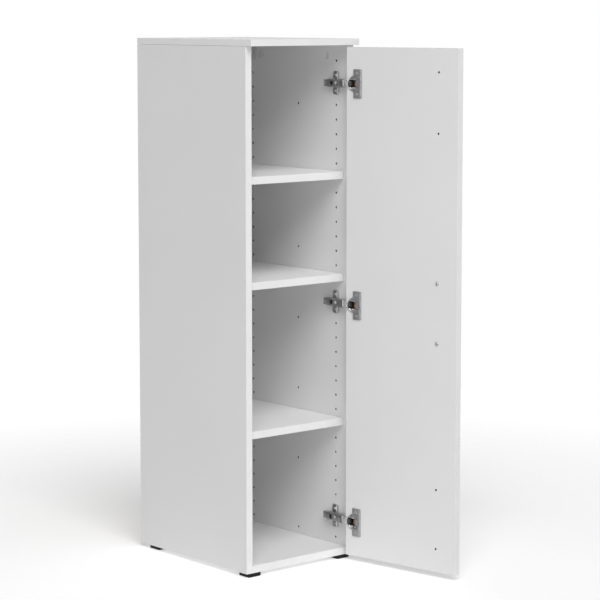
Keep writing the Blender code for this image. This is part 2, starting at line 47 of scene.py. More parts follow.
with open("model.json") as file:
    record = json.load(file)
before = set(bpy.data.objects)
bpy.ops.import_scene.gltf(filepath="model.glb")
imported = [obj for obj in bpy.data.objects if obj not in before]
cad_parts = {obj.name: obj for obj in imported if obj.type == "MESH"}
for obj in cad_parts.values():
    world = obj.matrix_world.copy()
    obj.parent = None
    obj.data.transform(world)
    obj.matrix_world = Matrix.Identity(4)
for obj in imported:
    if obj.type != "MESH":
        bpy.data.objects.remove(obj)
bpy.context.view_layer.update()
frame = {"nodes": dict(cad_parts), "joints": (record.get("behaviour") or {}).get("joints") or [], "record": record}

MM = 0.001
LEVELS = ("lower", "middle", "upper")
SIDES = ("left", "right")
ROWS = ("front", "rear")
ROUND_ANGLE = math.radians(32)
BEVEL_ANGLE = math.radians(25)


# --------------------------------------------------------------------------- places from the frame


def middle(node):
    low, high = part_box(node)
    return (low + high) / 2


def joint(name):
    return next(item for item in frame["joints"] if item["name"] == name)


def share_of_door(name):
    """How far a coupled joint turns for each degree of the door."""
    couplings = frame["record"]["behaviour"]["couplings"]
    return next(item["ratio"] for item in couplings if item["joint"] == name)


DOOR_JOINT = joint("door_swing")
DOOR_OPEN = -math.radians(DOOR_JOINT["range_deg"][0])
AXIS = Vector((DOOR_JOINT["pos_m"][0], DOOR_JOINT["pos_m"][1], 0))
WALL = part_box("right_side_panel")[0].x
HINGE_HEIGHTS = [middle(f"mounting_plate_{name}").z for name in LEVELS]
HINGE_LINE = middle("plate_screw_lower_lower").y
HOLE_PITCH = (middle("plate_screw_lower_upper") - middle("plate_screw_lower_lower")).z


def about_axis(angle):
    return Matrix.Translation(AXIS) @ Matrix.Rotation(angle, 4, "Z")


DOOR_PLACE = about_axis(DOOR_OPEN)
OUTER_PLACE = about_axis(DOOR_OPEN * share_of_door("outer_lever_swing"))
INNER_PLACE = about_axis(DOOR_OPEN * share_of_door("inner_lever_swing"))


def local_box(node, place):
    """A node's lowest and highest corners in the coordinates of place."""
    back = place.inverted()
    points = [back @ vertex.co for vertex in frame["nodes"][node].data.vertices]
    low = Vector(min(point[i] for point in points) for i in range(3))
    high = Vector(max(point[i] for point in points) for i in range(3))
    return low, high


def local_middle(node, place):
    low, high = local_box(node, place)
    return (low + high) / 2


def facing_rear(x, y, z):
    """The place of a turned shape whose top faces the cabinet's rear."""
    return Matrix.Translation((x, y, z)) @ Matrix.Rotation(-math.pi / 2, 4, "X")


# Hinge sizes that the frame doesn't give: the arm's height, its notch, the levers' reach from the
# door's axis, the rivets on the outer lever, and the cup
ARM_HEIGHT = 14 * MM
NOTCH_HALF = 5.9 * MM
NOTCH_DEPTH = 10.5 * MM
LEVER_REACH = 26.2 * MM
RIVET_REACH = 25.55 * MM
RIVET_ANGLES = (math.radians(133), math.radians(152))
CUP_RADIUS = 17.5 * MM
CUP_SHEET = 1.5 * MM
CUP_SCREW_RISE = 22.5 * MM


# --------------------------------------------------------------------------- sizes and colours


def length(name, description, default):
    return bpy.props.FloatProperty(
        name=name, description=description, default=default, min=0.0, precision=5, unit="LENGTH"
    )


def share(name, description, default):
    return bpy.props.FloatProperty(
        name=name, description=description, default=default, min=0.0, max=1.0, subtype="FACTOR"
    )


def colour(name, description, default):
    return bpy.props.FloatVectorProperty(
        name=name, description=description, default=default, size=3, min=0.0, max=1.0,
        subtype="COLOR",
    )


class CabinetBoards(bpy.types.PropertyGroup):
    """Boards, their edge bands and the holes drilled in them."""

    band: length("Edge band", "Thickness of the strip glued on a board's edge", 1.0 * MM)
    rounding: length("Rounding", "Rounding of a board's edges", 0.3 * MM)
    band_rounding: length("Band rounding", "Rounding of an edge band's long edges", 0.45 * MM)
    hole: length("Hole", "Diameter of the holes for shelf pins", 5 * MM)
    hole_depth: length("Hole depth", "Depth of the holes for shelf pins", 10 * MM)
    pilot_hole: length("Pilot hole", "Diameter of the spare handle holes in the door", 5 * MM)
    laminate: colour("Laminate", "Colour of the boards' faces", (0.84, 0.84, 0.84))
    edging: colour("Edging", "Colour of the edge bands", (0.85, 0.85, 0.85))
    chipboard: colour("Chipboard", "Colour of the board's core in a hole", (0.28, 0.165, 0.10))
    hardboard: colour("Hardboard", "Colour of the back panel's raw rear face", (0.36, 0.24, 0.14))


class CabinetFittings(bpy.types.PropertyGroup):
    """Feet, pins, covers, handle and bracket."""

    foot_rounding: length("Foot rounding", "Rounding of a foot's edges", 1.2 * MM)
    pin_rounding: length("Pin rounding", "Rounding of a shelf pin's edges", 0.5 * MM)
    recess: length("Recess", "Width of a screw's cross-shaped recess", 0.9 * MM)
    handle_corner: length("Handle corner", "Radius of the handle's bends, at its middle", 8 * MM)
    plastic: colour("Plastic", "Colour of pins and lock covers", (0.78, 0.78, 0.77))
    rubber: colour("Feet", "Colour of the feet", (0.009, 0.009, 0.0095))
    paint: colour("Bracket paint", "Colour of the wall bracket", (0.74, 0.74, 0.74))
    handle: colour("Handle", "Colour of the brushed handle", (0.62, 0.62, 0.61))


class CabinetHinges(bpy.types.PropertyGroup):
    """Plates, arms, levers, cups and their screws."""

    sheet: length("Sheet", "Thickness of the pressed steel", 1.5 * MM)
    chamfer: length("Chamfer", "Width of the chamfers on pressed edges", 0.3 * MM)
    corner: length("Corner", "Radius of a plate's or a flange's corners", 3.5 * MM)
    steel: colour("Steel", "Colour of plates, arms and cups", (0.44, 0.44, 0.45))
    # On the plates' front bevels this colour is a painted highlight.
    bright: colour("Bright steel", "Colour of the levers", (0.92, 0.92, 0.92))
    # In the cups' slots, the dimples, the arms' openings and the plates' pockets this colour is painted shade.
    dark: colour("Dark steel", "Colour inside the cups and of the rivets", (0.055, 0.055, 0.055))
    copper: colour("Copper", "Colour of the rollers", (0.30, 0.15, 0.05))


class CabinetStudio(bpy.types.PropertyGroup):
    """The floor, the lights and the camera."""

    floor: colour("Floor", "Colour of the floor", (0.86, 0.86, 0.86))
    floor_glow: share("Floor glow", "Brightness that the floor adds by itself", 0.24)
    sky: share("Sky", "Brightness of the soft light from all round", 0.165)
    key_power: bpy.props.FloatProperty(
        name="Key", description="Power of the large high light", default=675.0, min=0.0,
        unit="POWER",
    )


SETTINGS = {
    "cabinet_boards": CabinetBoards,
    "cabinet_fittings": CabinetFittings,
    "cabinet_hinges": CabinetHinges,
    "cabinet_studio": CabinetStudio,
}


def boards():
    return bpy.context.scene.cabinet_boards


def fittings():
    return bpy.context.scene.cabinet_fittings


def hinges():
    return bpy.context.scene.cabinet_hinges


# --------------------------------------------------------------------------- mesh tools


def box_shape(low, high):
    low, high = Vector(low), Vector(high)
    shape = bmesh.new()
    place = Matrix.Translation((low + high) / 2) @ Matrix.Diagonal((*(high - low), 1))
    bmesh.ops.create_cube(shape, size=1, matrix=place)
    return shape


def rounded(shape, width, segments=2):
    """Bevels every edge that turns by more than a small angle."""
    edges = [edge for edge in shape.edges if edge.calc_face_angle(0) > BEVEL_ANGLE]
    bmesh.ops.bevel(shape, geom=edges, offset=width, segments=segments, profile=0.5,
                    affect="EDGES", clamp_overlap=True)
    return shape


def mesh_of(shape, name, finish=None):
    bmesh.ops.recalc_face_normals(shape, faces=shape.faces[:])
    mesh = bpy.data.meshes.new(name)
    shape.to_mesh(mesh)
    shape.free()
    if finish:
        mesh.materials.append(finish)
    return mesh


def moved(shape, matrix):
    bmesh.ops.transform(shape, matrix=matrix, verts=shape.verts[:])
    return shape


def board_mesh(name, low, high, width, finish):
    return mesh_of(rounded(box_shape(low, high), width), name, finish)


def prism(outline, direction):
    """A closed outline of points, pushed along direction."""
    shape = bmesh.new()
    face = shape.faces.new([shape.verts.new(point) for point in outline])
    pushed = bmesh.ops.extrude_face_region(shape, geom=[face])
    corners = [item for item in pushed["geom"] if isinstance(item, bmesh.types.BMVert)]
    bmesh.ops.translate(shape, verts=corners, vec=direction)
    return shape


def loft(sections):
    """Skins a row of loops that have the same number of points, and closes both ends."""
    shape = bmesh.new()
    loops = [[shape.verts.new(point) for point in section] for section in sections]
    for first, second in zip(loops, loops[1:]):
        for i, corner in enumerate(first):
            after = (i + 1) % len(first)
            shape.faces.new((corner, first[after], second[after], second[i]))
    shape.faces.new(loops[0])
    shape.faces.new(loops[-1])
    return shape


def turned(profile, sides):
    """A solid turned about Z from (radius, height) points that start and end on the axis."""
    shape = bmesh.new()
    top = shape.verts.new((0, 0, profile[0][1]))
    foot = shape.verts.new((0, 0, profile[-1][1]))
    rings = []
    for radius, height in profile[1:-1]:
        turns = [math.tau * step / sides for step in range(sides)]
        rings.append([
            shape.verts.new((radius * math.cos(turn), radius * math.sin(turn), height))
            for turn in turns
        ])
    for i in range(sides):
        after = (i + 1) % sides
        shape.faces.new((top, rings[0][i], rings[0][after]))
        shape.faces.new((foot, rings[-1][after], rings[-1][i]))
        for upper, lower in zip(rings, rings[1:]):
            shape.faces.new((upper[i], lower[i], lower[after], upper[after]))
    return shape


def rod_shape(radius, start, end, sides):
    start, end = Vector(start), Vector(end)
    turn = (end - start).to_track_quat("Z", "Y").to_matrix().to_4x4()
    shape = bmesh.new()
    bmesh.ops.create_cone(shape, cap_ends=True, segments=sides, radius1=radius, radius2=radius,
                          depth=(end - start).length,
                          matrix=Matrix.Translation((start + end) / 2) @ turn)
    return shape


def rounded_outline(low, high, radius, steps=4):
    """The corners of a rectangle from low to high in a plane, each an arc."""
    centres = (
        (high[0] - radius, high[1] - radius, 0),
        (low[0] + radius, high[1] - radius, 1),
        (low[0] + radius, low[1] + radius, 2),
        (high[0] - radius, low[1] + radius, 3),
    )
    outline = []
    for across, up, quarter in centres:
        for step in range(steps + 1):
            angle = math.pi / 2 * (quarter + step / steps)
            outline.append((across + radius * math.cos(angle), up + radius * math.sin(angle)))
    return outline


def smooth(mesh, angle=ROUND_ANGLE):
    mesh.shade_smooth()
    mesh.set_sharp_from_angle(angle=angle)
    return mesh


def evaluated_mesh(holder):
    """The mesh that an object's modifiers make. The object is then removed."""
    bpy.context.view_layer.update()
    graph = bpy.context.evaluated_depsgraph_get()
    mesh = bpy.data.meshes.new_from_object(holder.evaluated_get(graph))
    bpy.data.objects.remove(holder)
    return mesh


def linked(name, data):
    """A new object that holds the data, in the scene."""
    made = bpy.data.objects.new(name, data)
    bpy.context.scene.collection.objects.link(made)
    return made


def holder_of(mesh):
    return linked(mesh.name, mesh)


def combined(mesh, *changes):
    """Applies (operation, other mesh) pairs. A cut face takes the cutter's finish."""
    holder = holder_of(mesh)
    others = []
    for operation, other in changes:
        boolean = holder.modifiers.new(other.name, "BOOLEAN")
        boolean.operation = operation
        boolean.solver = "EXACT"
        boolean.material_mode = "TRANSFER"
        boolean.object = holder_of(other)
        others.append(boolean.object)
    made = evaluated_mesh(holder)
    for other in others:
        bpy.data.objects.remove(other)
    return made


def joined(name, meshes):
    """Shapes that stay clear of each other, in one mesh with the first one's finish."""
    shape = bmesh.new()
    for mesh in meshes:
        shape.from_mesh(mesh)
    made = bpy.data.meshes.new(name)
    shape.to_mesh(made)
    shape.free()
    for material in meshes[0].materials:
        made.materials.append(material)
    return made


def copy_of_node(node, place):
    """A merged copy of a CAD node's mesh, in the coordinates of place."""
    shape = bmesh.new()
    shape.from_mesh(frame["nodes"][node].data)
    bmesh.ops.remove_doubles(shape, verts=shape.verts[:], dist=0.01 * MM)
    moved(shape, place.inverted())
    bmesh.ops.dissolve_limit(shape, angle_limit=math.radians(1), verts=shape.verts[:],
                             edges=shape.edges[:])
    return shape


def add_piece(name, mesh, body, replaced=(), place=None):
    """Makes the object, turns its mesh to its rest place and ties it to the frame."""
    if place is not None:
        mesh.transform(place)
    mesh.name = name
    piece = linked(name, mesh)
    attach(piece, body)
    if replaced:
        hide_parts(*replaced)
    return piece


# --------------------------------------------------------------------------- node trees


def new_node(tree, kind, links=None, **settings):
    """A node with its settings, and each named input linked or set."""
    node = tree.nodes.new(kind)
    for setting, value in settings.items():
        setattr(node, setting, value)
    for socket, value in (links or {}).items():
        if isinstance(value, bpy.types.NodeSocket):
            tree.links.new(value, node.inputs[socket])
        else:
            node.inputs[socket].default_value = value
    return node


def new_output(tree, kind, output, links=None, **settings):
    """One output of a new node."""
    return new_node(tree, kind, links, **settings).outputs[output]


def new_tree(name, inputs):
    """A Geometry Nodes tree with named inputs, what they give, and its output node."""
    tree = bpy.data.node_groups.new(name, "GeometryNodeTree")
    sockets = [("Geometry", "INPUT", "Geometry")]
    sockets += [(title, "INPUT", kind) for title, kind in inputs.items()]
    for title, in_out, kind in (*sockets, ("Geometry", "OUTPUT", "Geometry")):
        tree.interface.new_socket(title, in_out=in_out, socket_type=f"NodeSocket{kind}")
    return tree, tree.nodes.new("NodeGroupInput").outputs, tree.nodes.new("NodeGroupOutput")


def end_tree(tree, geometry, finish, kept, output):
    """Ends in Realize Instances and Set Material, which passes over faces of the kept finish."""
    is_kept = new_output(tree, "GeometryNodeMaterialSelection", "Selection", {"Material": kept})
    other = new_output(tree, "FunctionNodeBooleanMath", "Boolean", {0: is_kept}, operation="NOT")
    real = new_output(tree, "GeometryNodeRealizeInstances", "Geometry", {"Geometry": geometry})
    painted = new_output(tree, "GeometryNodeSetMaterial", "Geometry", {
        "Geometry": real, "Material": finish, "Selection": other,
    })
    tree.links.new(painted, output.inputs["Geometry"])


def hole_row_tree():
    """Drills a row of round holes, each as deep below a board's face as it stands above it."""
    tree, given, output = new_tree("Row of holes", {
        "Start": "Vector", "Step": "Vector", "Turn": "Vector", "Count": "Int",
        "Diameter": "Float", "Depth": "Float", "Sides": "Int",
        "Board finish": "Material", "Hole finish": "Material",
    })
    line = new_output(tree, "GeometryNodeMeshLine", "Mesh", {
        "Count": given["Count"], "Start Location": given["Start"], "Offset": given["Step"],
    })
    radius, height = (
        new_output(tree, "ShaderNodeMath", 0, {0: given[size], 1: factor}, operation="MULTIPLY")
        for size, factor in (("Diameter", 0.5), ("Depth", 2.0))
    )
    drill = new_output(tree, "GeometryNodeMeshCylinder", "Mesh", {
        "Vertices": given["Sides"], "Radius": radius, "Depth": height,
    })
    core = new_output(tree, "GeometryNodeSetMaterial", "Geometry", {
        "Geometry": drill, "Material": given["Hole finish"],
    })
    turn = new_output(tree, "FunctionNodeEulerToRotation", "Rotation", {"Euler": given["Turn"]})
    placed = new_output(tree, "GeometryNodeInstanceOnPoints", "Instances", {
        "Points": line, "Instance": core, "Rotation": turn,
    })
    drills = new_output(tree, "GeometryNodeRealizeInstances", "Geometry", {"Geometry": placed})
    cut = new_output(tree, "GeometryNodeMeshBoolean", "Mesh", {
        "Mesh 1": given["Geometry"], "Mesh 2": drills,
    }, operation="DIFFERENCE", solver="EXACT")
    end_tree(tree, cut, given["Board finish"], given["Hole finish"], output)
    return tree


def copies_tree():
    """Puts a shape on every point, turned about Z by the point's own 'turn' before the whole turn."""
    tree, given, output = new_tree("Copies on points", {
        "Shape": "Object", "Turn": "Vector", "Finish": "Material", "Kept finish": "Material",
    })
    shape = new_output(tree, "GeometryNodeObjectInfo", "Geometry", {
        "Object": given["Shape"], "As Instance": True,
    })
    own = new_output(tree, "GeometryNodeInputNamedAttribute", "Attribute", {"Name": "turn"},
                     data_type="FLOAT")
    about_z = new_output(tree, "ShaderNodeCombineXYZ", 0, {"Z": own})
    first, whole = (
        new_output(tree, "FunctionNodeEulerToRotation", "Rotation", {"Euler": angles})
        for angles in (about_z, given["Turn"])
    )
    turn = new_output(tree, "FunctionNodeRotateRotation", "Rotation", {
        "Rotation": whole, "Rotate By": first,
    }, rotation_space="GLOBAL")
    placed = new_output(tree, "GeometryNodeInstanceOnPoints", "Instances", {
        "Points": given["Geometry"], "Instance": shape, "Rotation": turn,
    })
    end_tree(tree, placed, given["Finish"], given["Kept finish"], output)
    return tree


def run_tree(mesh, name, maker, values):
    """The plain mesh that a tree makes from a mesh. The tree is built when it is first used."""
    tree = bpy.data.node_groups.get(name) or maker()
    holder = holder_of(mesh)
    modifier = holder.modifiers.new(name, "NODES")
    modifier.node_group = tree
    for item in tree.interface.items_tree:
        if item.in_out == "INPUT" and item.name in values:
            modifier[item.identifier] = values[item.name]
    return evaluated_mesh(holder)


def drilled(mesh, start, step, count, turn, diameter, depth, sides=16):
    """A board's mesh with a row of holes in it."""
    return run_tree(mesh, "Row of holes", hole_row_tree, {
        "Start": tuple(start), "Step": tuple(step), "Turn": turn, "Count": count,
        "Diameter": diameter, "Depth": depth, "Sides": sides,
        "Board finish": mesh.materials[0], "Hole finish": finish("chipboard"),
    })


def add_copies(name, mesh, points, look, body, replaced=(), place=None, turn=(0, 0, 0),
               turns=None):
    """Adds one piece that holds a copy of a shape on each point. Faces in the dark finish, painted shade in
    recesses, stay dark.
    """
    shape = holder_of(mesh)
    places = bpy.data.meshes.new(name)
    places.from_pydata([tuple(point) for point in points], [], [])
    own = places.attributes.new("turn", "FLOAT", "POINT")
    own.data.foreach_set("value", turns or [0.0] * len(points))
    made = run_tree(places, "Copies on points", copies_tree, {
        "Shape": shape, "Turn": turn, "Finish": finish(look), "Kept finish": finish("dark"),
    })
    bpy.data.objects.remove(shape)
    return add_piece(name, made, body, replaced, place)


HEAD_TO_LEFT = (0, -math.pi / 2, 0)
HEAD_TO_RIGHT = (0, math.pi / 2, 0)
HEAD_TO_REAR = (-math.pi / 2, 0, 0)


# --------------------------------------------------------------------------- finishes


FINISHES = {}


def shade(tone, factor):
    return tuple(min(channel * factor, 1.0) for channel in tone)


class Finish:
    """A Principled material whose patterns read Object coordinates."""

    def __init__(self, name, specular, metallic=0.0):
        self.material = bpy.data.materials.new(name)
        self.material.use_nodes = True
        self.tree = self.material.node_tree
        self.shader = self.tree.nodes["Principled BSDF"]
        self.shader.inputs["Specular IOR Level"].default_value = specular
        self.shader.inputs["Metallic"].default_value = metallic
        self.place = new_output(self.tree, "ShaderNodeTexCoord", "Object")

    def pattern(self, kind, output, stretch, **inputs):
        place = new_output(self.tree, "ShaderNodeMapping", "Vector", {
            "Vector": self.place, "Scale": stretch,
        })
        return new_output(self.tree, kind, output, {"Vector": place, **inputs})

    def noise(self, scale, detail=2.0, stretch=(1, 1, 1)):
        return self.pattern("ShaderNodeTexNoise", "Fac", stretch, Scale=scale, Detail=detail)

    def cells(self, scale, stretch=(1, 1, 1)):
        return self.pattern("ShaderNodeTexVoronoi", "Distance", stretch, Scale=scale)

    def spread(self, value, low, high, start=0.3, end=0.7):
        return new_output(self.tree, "ShaderNodeMapRange", "Result", {
            "Value": value, "From Min": start, "From Max": end, "To Min": low, "To Max": high,
        })

    def colour(self, pattern, tone, dark, light, start=0.3, end=0.7):
        """Runs between two shades of a tone, given as factors."""
        ramp = new_node(self.tree, "ShaderNodeValToRGB", {"Fac": pattern})
        stops = zip(ramp.color_ramp.elements, (start, end), (dark, light))
        for element, position, factor in stops:
            element.position = position
            element.color = (*shade(tone, factor), 1)
        self.tree.links.new(ramp.outputs["Color"], self.shader.inputs["Base Color"])

    def roughness(self, pattern, low, high):
        self.tree.links.new(self.spread(pattern, low, high), self.shader.inputs["Roughness"])

    def relief(self, *layers):
        """Each layer is (pattern, depth in metres)."""
        inputs = {}
        for pattern, depth in layers:
            inputs |= {"Height": pattern, "Distance": depth, "Strength": 1.0}
            inputs["Normal"] = new_output(self.tree, "ShaderNodeBump", "Normal", inputs)
        self.tree.links.new(inputs["Normal"], self.shader.inputs["Normal"])

    def metal(self, tone, low, high, stretch, depth):
        """Cloudy plating, with fine lines left by rolling or brushing."""
        self.colour(self.noise(170, 4), tone, 0.8, 1.12)
        self.roughness(self.noise(1300, 4, stretch), low, high)
        self.relief((self.noise(1900, 3, stretch), depth))


def finish_drawn(specular=0.5, metallic=0.0):
    """Lists a finish under the name of the function that draws it."""
    def listed(draw):
        FINISHES[draw.__name__] = (draw, specular, metallic)
        return draw
    return listed


def finish(name):
    """The finish of that name, made the first time that it is asked for."""
    if name not in bpy.data.materials:
        draw, specular, metallic = FINISHES[name]
        draw(Finish(name, specular, metallic))
    return bpy.data.materials[name]


@finish_drawn(specular=0.42)
def laminate(made):
    """Satin melamine with a very fine pearl grain and faint cloudiness."""
    made.colour(made.noise(4), boards().laminate, 0.988, 1.01)
    made.roughness(made.noise(60, 4), 0.42, 0.56)
    made.relief((made.noise(520), 0.03 * MM))


@finish_drawn()
def edging(made):
    """Extruded edge band: a little brighter and smoother, with faint drawn lines along it."""
    made.colour(made.noise(25), boards().edging, 0.975, 1.015)
    made.roughness(made.noise(90, 3), 0.3, 0.44)
    made.relief((made.noise(900, 2, (1, 1, 0.04)), 0.02 * MM))


@finish_drawn(specular=0.2)
def chipboard(made):
    """Cut chips and dark glue."""
    chips = (900, (1, 1, 2.4))
    made.colour(made.cells(*chips), boards().chipboard, 0.45, 1.9, 0.1, 0.8)
    made.roughness(made.noise(400, 3), 0.8, 0.95)
    made.relief((made.cells(*chips), 0.25 * MM))


@finish_drawn(specular=0.3)
def hardboard(made):
    """Lacquered face of the thin back panel."""
    made.colour(made.noise(12, 4), shade(boards().laminate, 0.97), 0.96, 1.02)
    made.roughness(made.noise(200, 3), 0.5, 0.66)
    made.relief((made.noise(650, 4), 0.04 * MM))


@finish_drawn(specular=0.25)
def raw_hardboard(made):
    """Pressed brown fibres, with longer strands and flecks."""
    made.colour(made.noise(420, 6, (1, 1, 0.35)), boards().hardboard, 0.72, 1.3, 0.35, 0.68)
    made.roughness(made.noise(300, 3), 0.68, 0.86)
    made.relief((made.noise(700, 5, (1, 1, 0.4)), 0.12 * MM), (made.cells(650), 0.05 * MM))


@finish_drawn()
def plastic(made):
    made.colour(made.noise(120), fittings().plastic, 0.96, 1.02)
    made.roughness(made.noise(500, 3), 0.32, 0.46)
    made.relief((made.noise(2400), 0.015 * MM))


@finish_drawn(specular=0.2)
def rubber(made):
    """Black moulded plastic, with spark-eroded grain and grey scuffs."""
    made.colour(made.noise(260, 5), fittings().rubber, 0.8, 1.9, 0.42, 0.72)
    made.roughness(made.noise(900, 3), 0.42, 0.6)
    made.relief((made.noise(2600), 0.05 * MM))


@finish_drawn()
def paint(made):
    """Powder coat, with its orange-peel."""
    made.colour(made.noise(60), fittings().paint, 0.97, 1.02)
    made.roughness(made.noise(700), 0.36, 0.5)
    made.relief((made.noise(900, 1), 0.06 * MM))


@finish_drawn(metallic=1.0)
def steel(made):
    made.metal(hinges().steel, 0.3, 0.46, (1, 0.2, 1), 0.03 * MM)


# On the plates' front bevels this finish paints a highlight.
@finish_drawn(metallic=0.55)
def bright(made):
    """Bright plating, which also scatters some light."""
    made.metal(hinges().bright, 0.2, 0.32, (1, 1, 0.3), 0.01 * MM)


@finish_drawn(metallic=0.8)
def screw(made):
    made.metal(shade(hinges().steel, 1.2), 0.4, 0.54, (1, 1, 1), 0.03 * MM)


@finish_drawn(metallic=0.3)
def copper(made):
    made.metal(hinges().copper, 0.32, 0.48, (1, 1, 0.15), 0.03 * MM)


@finish_drawn(metallic=1.0)
def handle(made):
    made.metal(fittings().handle, 0.24, 0.38, (1, 1, 0.03), 0.02 * MM)


@finish_drawn(metallic=0.35)
def dark(made):
    """Near-black steel: painted shade in the cups' slots, the dimples, the arms' openings, the plates' pockets and
    the gaps under the noses; also the inner levers, the rivets' heads and the damper's ring.
    """
    made.colour(made.noise(400, 3), hinges().dark, 0.7, 1.5)
    made.roughness(made.noise(800), 0.4, 0.6)
    made.relief((made.noise(1500), 0.03 * MM))


# --------------------------------------------------------------------------- boards


BAND_SIDES = {"front": (1, 0), "rear": (1, 1), "left": (0, 0), "right": (0, 1),
              "under": (2, 0), "over": (2, 1)}
CLEARANCE = 0.3 * MM


def split_board(low, high, sides):
    """The board's core box, and one box for each edge band, butted at the corners."""
    core = [Vector(low), Vector(high)]
    strips = []
    for side in sides:
        along, end = BAND_SIDES[side]
        strip = [core[0].copy(), core[1].copy()]
        seam = core[end][along] + (boards().band if end == 0 else -boards().band)
        strip[1 - end][along] = core[end][along] = seam
        strips.append(strip)
    return core, strips


def bands_mesh(name, strips):
    width = boards().band_rounding
    return joined(name, [board_mesh(name, *strip, width, finish("edging")) for strip in strips])


def add_banded_board(node, board_name, bands_name, sides):
    """A board's core and its edge bands, as two pieces."""
    core, strips = split_board(*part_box(node), sides)
    body = board_mesh(node, *core, boards().rounding, finish("laminate"))
    add_piece(board_name, body, "cabinet", [node])
    add_piece(bands_name, bands_mesh(node, strips), "cabinet")


class CABINET_OT_side_panels(bpy.types.Operator):
    """Makes the two side panels, with rows of pin holes, lock pockets and banded edges"""

    bl_idname = "cabinet.side_panels"
    bl_label = "Side panels"

    def execute(self, context):
        back_low, back_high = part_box("back_panel")
        near, far = back_low.y - CLEARANCE, back_high.y + CLEARANCE
        for side in SIDES:
            node = f"{side}_side_panel"
            low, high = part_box(node)
            core, strips = split_board(low, high, ("front", "rear"))
            front, rear = core[0].y, core[1].y
            inner, outer, groove = low.x, high.x, back_high.x + CLEARANCE
            if side == "left":
                inner, outer, groove = high.x, low.x, back_low.x - CLEARANCE
            outline = [(outer, front), (inner, front), (inner, near), (groove, near), (groove, far),
                       (inner, far), (inner, rear), (outer, rear)]
            shape = prism([(x, y, low.z) for x, y in outline], (0, 0, high.z - low.z))
            panel = mesh_of(rounded(shape, boards().rounding), node, finish("laminate"))
            panel = self.drill(panel, side, inner)
            add_piece(f"{side}_side_board", panel, "cabinet", [node])
            add_piece(f"{side}_side_bands", bands_mesh(node, strips), "cabinet")
        return {"FINISHED"}

    def drill(self, panel, side, face):
        """Rows at the front, at every fifth hole in the middle, and at the rear, and two pockets."""
        settings = boards()
        pitch = HOLE_PITCH
        lowest = HINGE_HEIGHTS[0] - pitch / 2
        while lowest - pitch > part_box("bottom_panel")[1].z:
            lowest -= pitch
        highest = HINGE_HEIGHTS[-1] + pitch / 2 + pitch
        count = 1 + round((highest - lowest) / pitch)
        rows = (
            (HINGE_LINE, pitch, count),
            (HINGE_LINE + 4 * pitch, 5 * pitch, 1 + (count - 1) // 5),
            (middle("pin_lower_left_rear").y, pitch, count),
        )
        for y, step, amount in rows:
            panel = drilled(panel, (face, y, lowest), (0, 0, step), amount, HEAD_TO_RIGHT,
                            settings.hole, settings.hole_depth, sides=12)
        front = middle(f"cam_lock_front_{side}")
        apart = middle(f"cam_lock_rear_{side}").y - front.y
        low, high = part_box(f"cam_lock_front_{side}")
        return drilled(panel, (face, front.y, front.z), (0, apart, 0), 2, HEAD_TO_RIGHT,
                       high.z - low.z + 2 * CLEARANCE, high.x - low.x + 2 * CLEARANCE, sides=28)


class CABINET_OT_top_and_bottom(bpy.types.Operator):
    """Makes the overhanging top board and the bottom board"""

    bl_idname = "cabinet.top_and_bottom"
    bl_label = "Top and bottom"

    def execute(self, context):
        add_banded_board("top_panel", "top_board", "top_bands", ("front", "rear", "left", "right"))
        add_banded_board("bottom_panel", "bottom_board", "bottom_bands", ("front",))
        return {"FINISHED"}


class CABINET_OT_shelves(bpy.types.Operator):
    """Makes the three shelves, each with a band on its front edge"""

    bl_idname = "cabinet.shelves"
    bl_label = "Shelves"

    def execute(self, context):
        for name in LEVELS:
            add_banded_board(f"shelf_{name}", f"shelf_board_{name}", f"shelf_band_{name}", ("front",))
        return {"FINISHED"}


class CABINET_OT_back_panel(bpy.types.Operator):
    """Makes the thin back panel, lacquered in front and raw behind"""

    bl_idname = "cabinet.back_panel"
    bl_label = "Back panel"

    def execute(self, context):
        mesh = board_mesh("back_panel", *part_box("back_panel"), 0.25 * MM, finish("hardboard"))
        mesh.materials.append(finish("raw_hardboard"))
        for face in mesh.polygons:
            if face.normal.y > 0.5:
                face.material_index = 1
        add_piece("back_board", mesh, "cabinet", ["back_panel"])
        return {"FINISHED"}


def handle_bolts():
    """The middles of the handle's lower and upper bolt, with the door closed."""
    return [local_middle(f"handle_bolt_{level}", DOOR_PLACE) for level in ("lower", "upper")]


class CABINET_OT_door(bpy.types.Operator):
    """Makes the door, with its cup pockets, bolt holes and spare handle holes"""

    bl_idname = "cabinet.door"
    bl_label = "Door"

    def execute(self, context):
        low, high = local_box("door_panel", DOOR_PLACE)
        core, strips = split_board(low, high, ("left", "right", "under", "over"))
        door = board_mesh("door_panel", *core, boards().rounding, finish("laminate"))
        cup_low, cup_high = local_box("hinge_cup_lower", DOOR_PLACE)
        first, second = HINGE_HEIGHTS[:2]
        door = drilled(door, (cup_high.x - CUP_RADIUS, high.y, first), (0, 0, second - first),
                       len(LEVELS), HEAD_TO_REAR, 2 * CUP_RADIUS + 0.5 * MM,
                       high.y - cup_low.y + CLEARANCE, sides=36)
        lower, upper = handle_bolts()
        apart = upper.z - lower.z
        bolt_hole, through = 4.6 * MM, high.y - low.y + 2 * MM
        spare_depth, spare_margin = 12 * MM, 50.4 * MM
        holes = (
            (lower.z, bolt_hole, through),
            (low.z + spare_margin, boards().pilot_hole, spare_depth),
            (high.z - spare_margin - apart, boards().pilot_hole, spare_depth),
        )
        for start, diameter, depth in holes:
            door = drilled(door, (lower.x, high.y, start), (0, 0, apart), 2, HEAD_TO_REAR, diameter,
                           depth)
        add_piece("door_board", door, "door", ["door_panel"], DOOR_PLACE)
        add_piece("door_bands", bands_mesh("door_bands", strips), "door",
                  place=DOOR_PLACE)
        return {"FINISHED"}


# --------------------------------------------------------------------------- fittings


def cross_recess(reach, half_width, floor, top):
    """Two crossed bars to cut from a head or a cover."""
    bars = []
    for x, y in ((reach, half_width), (half_width, reach)):
        bars.append(("DIFFERENCE", mesh_of(box_shape((-x, -y, floor), (x, y, top)), "bar")))
    return bars


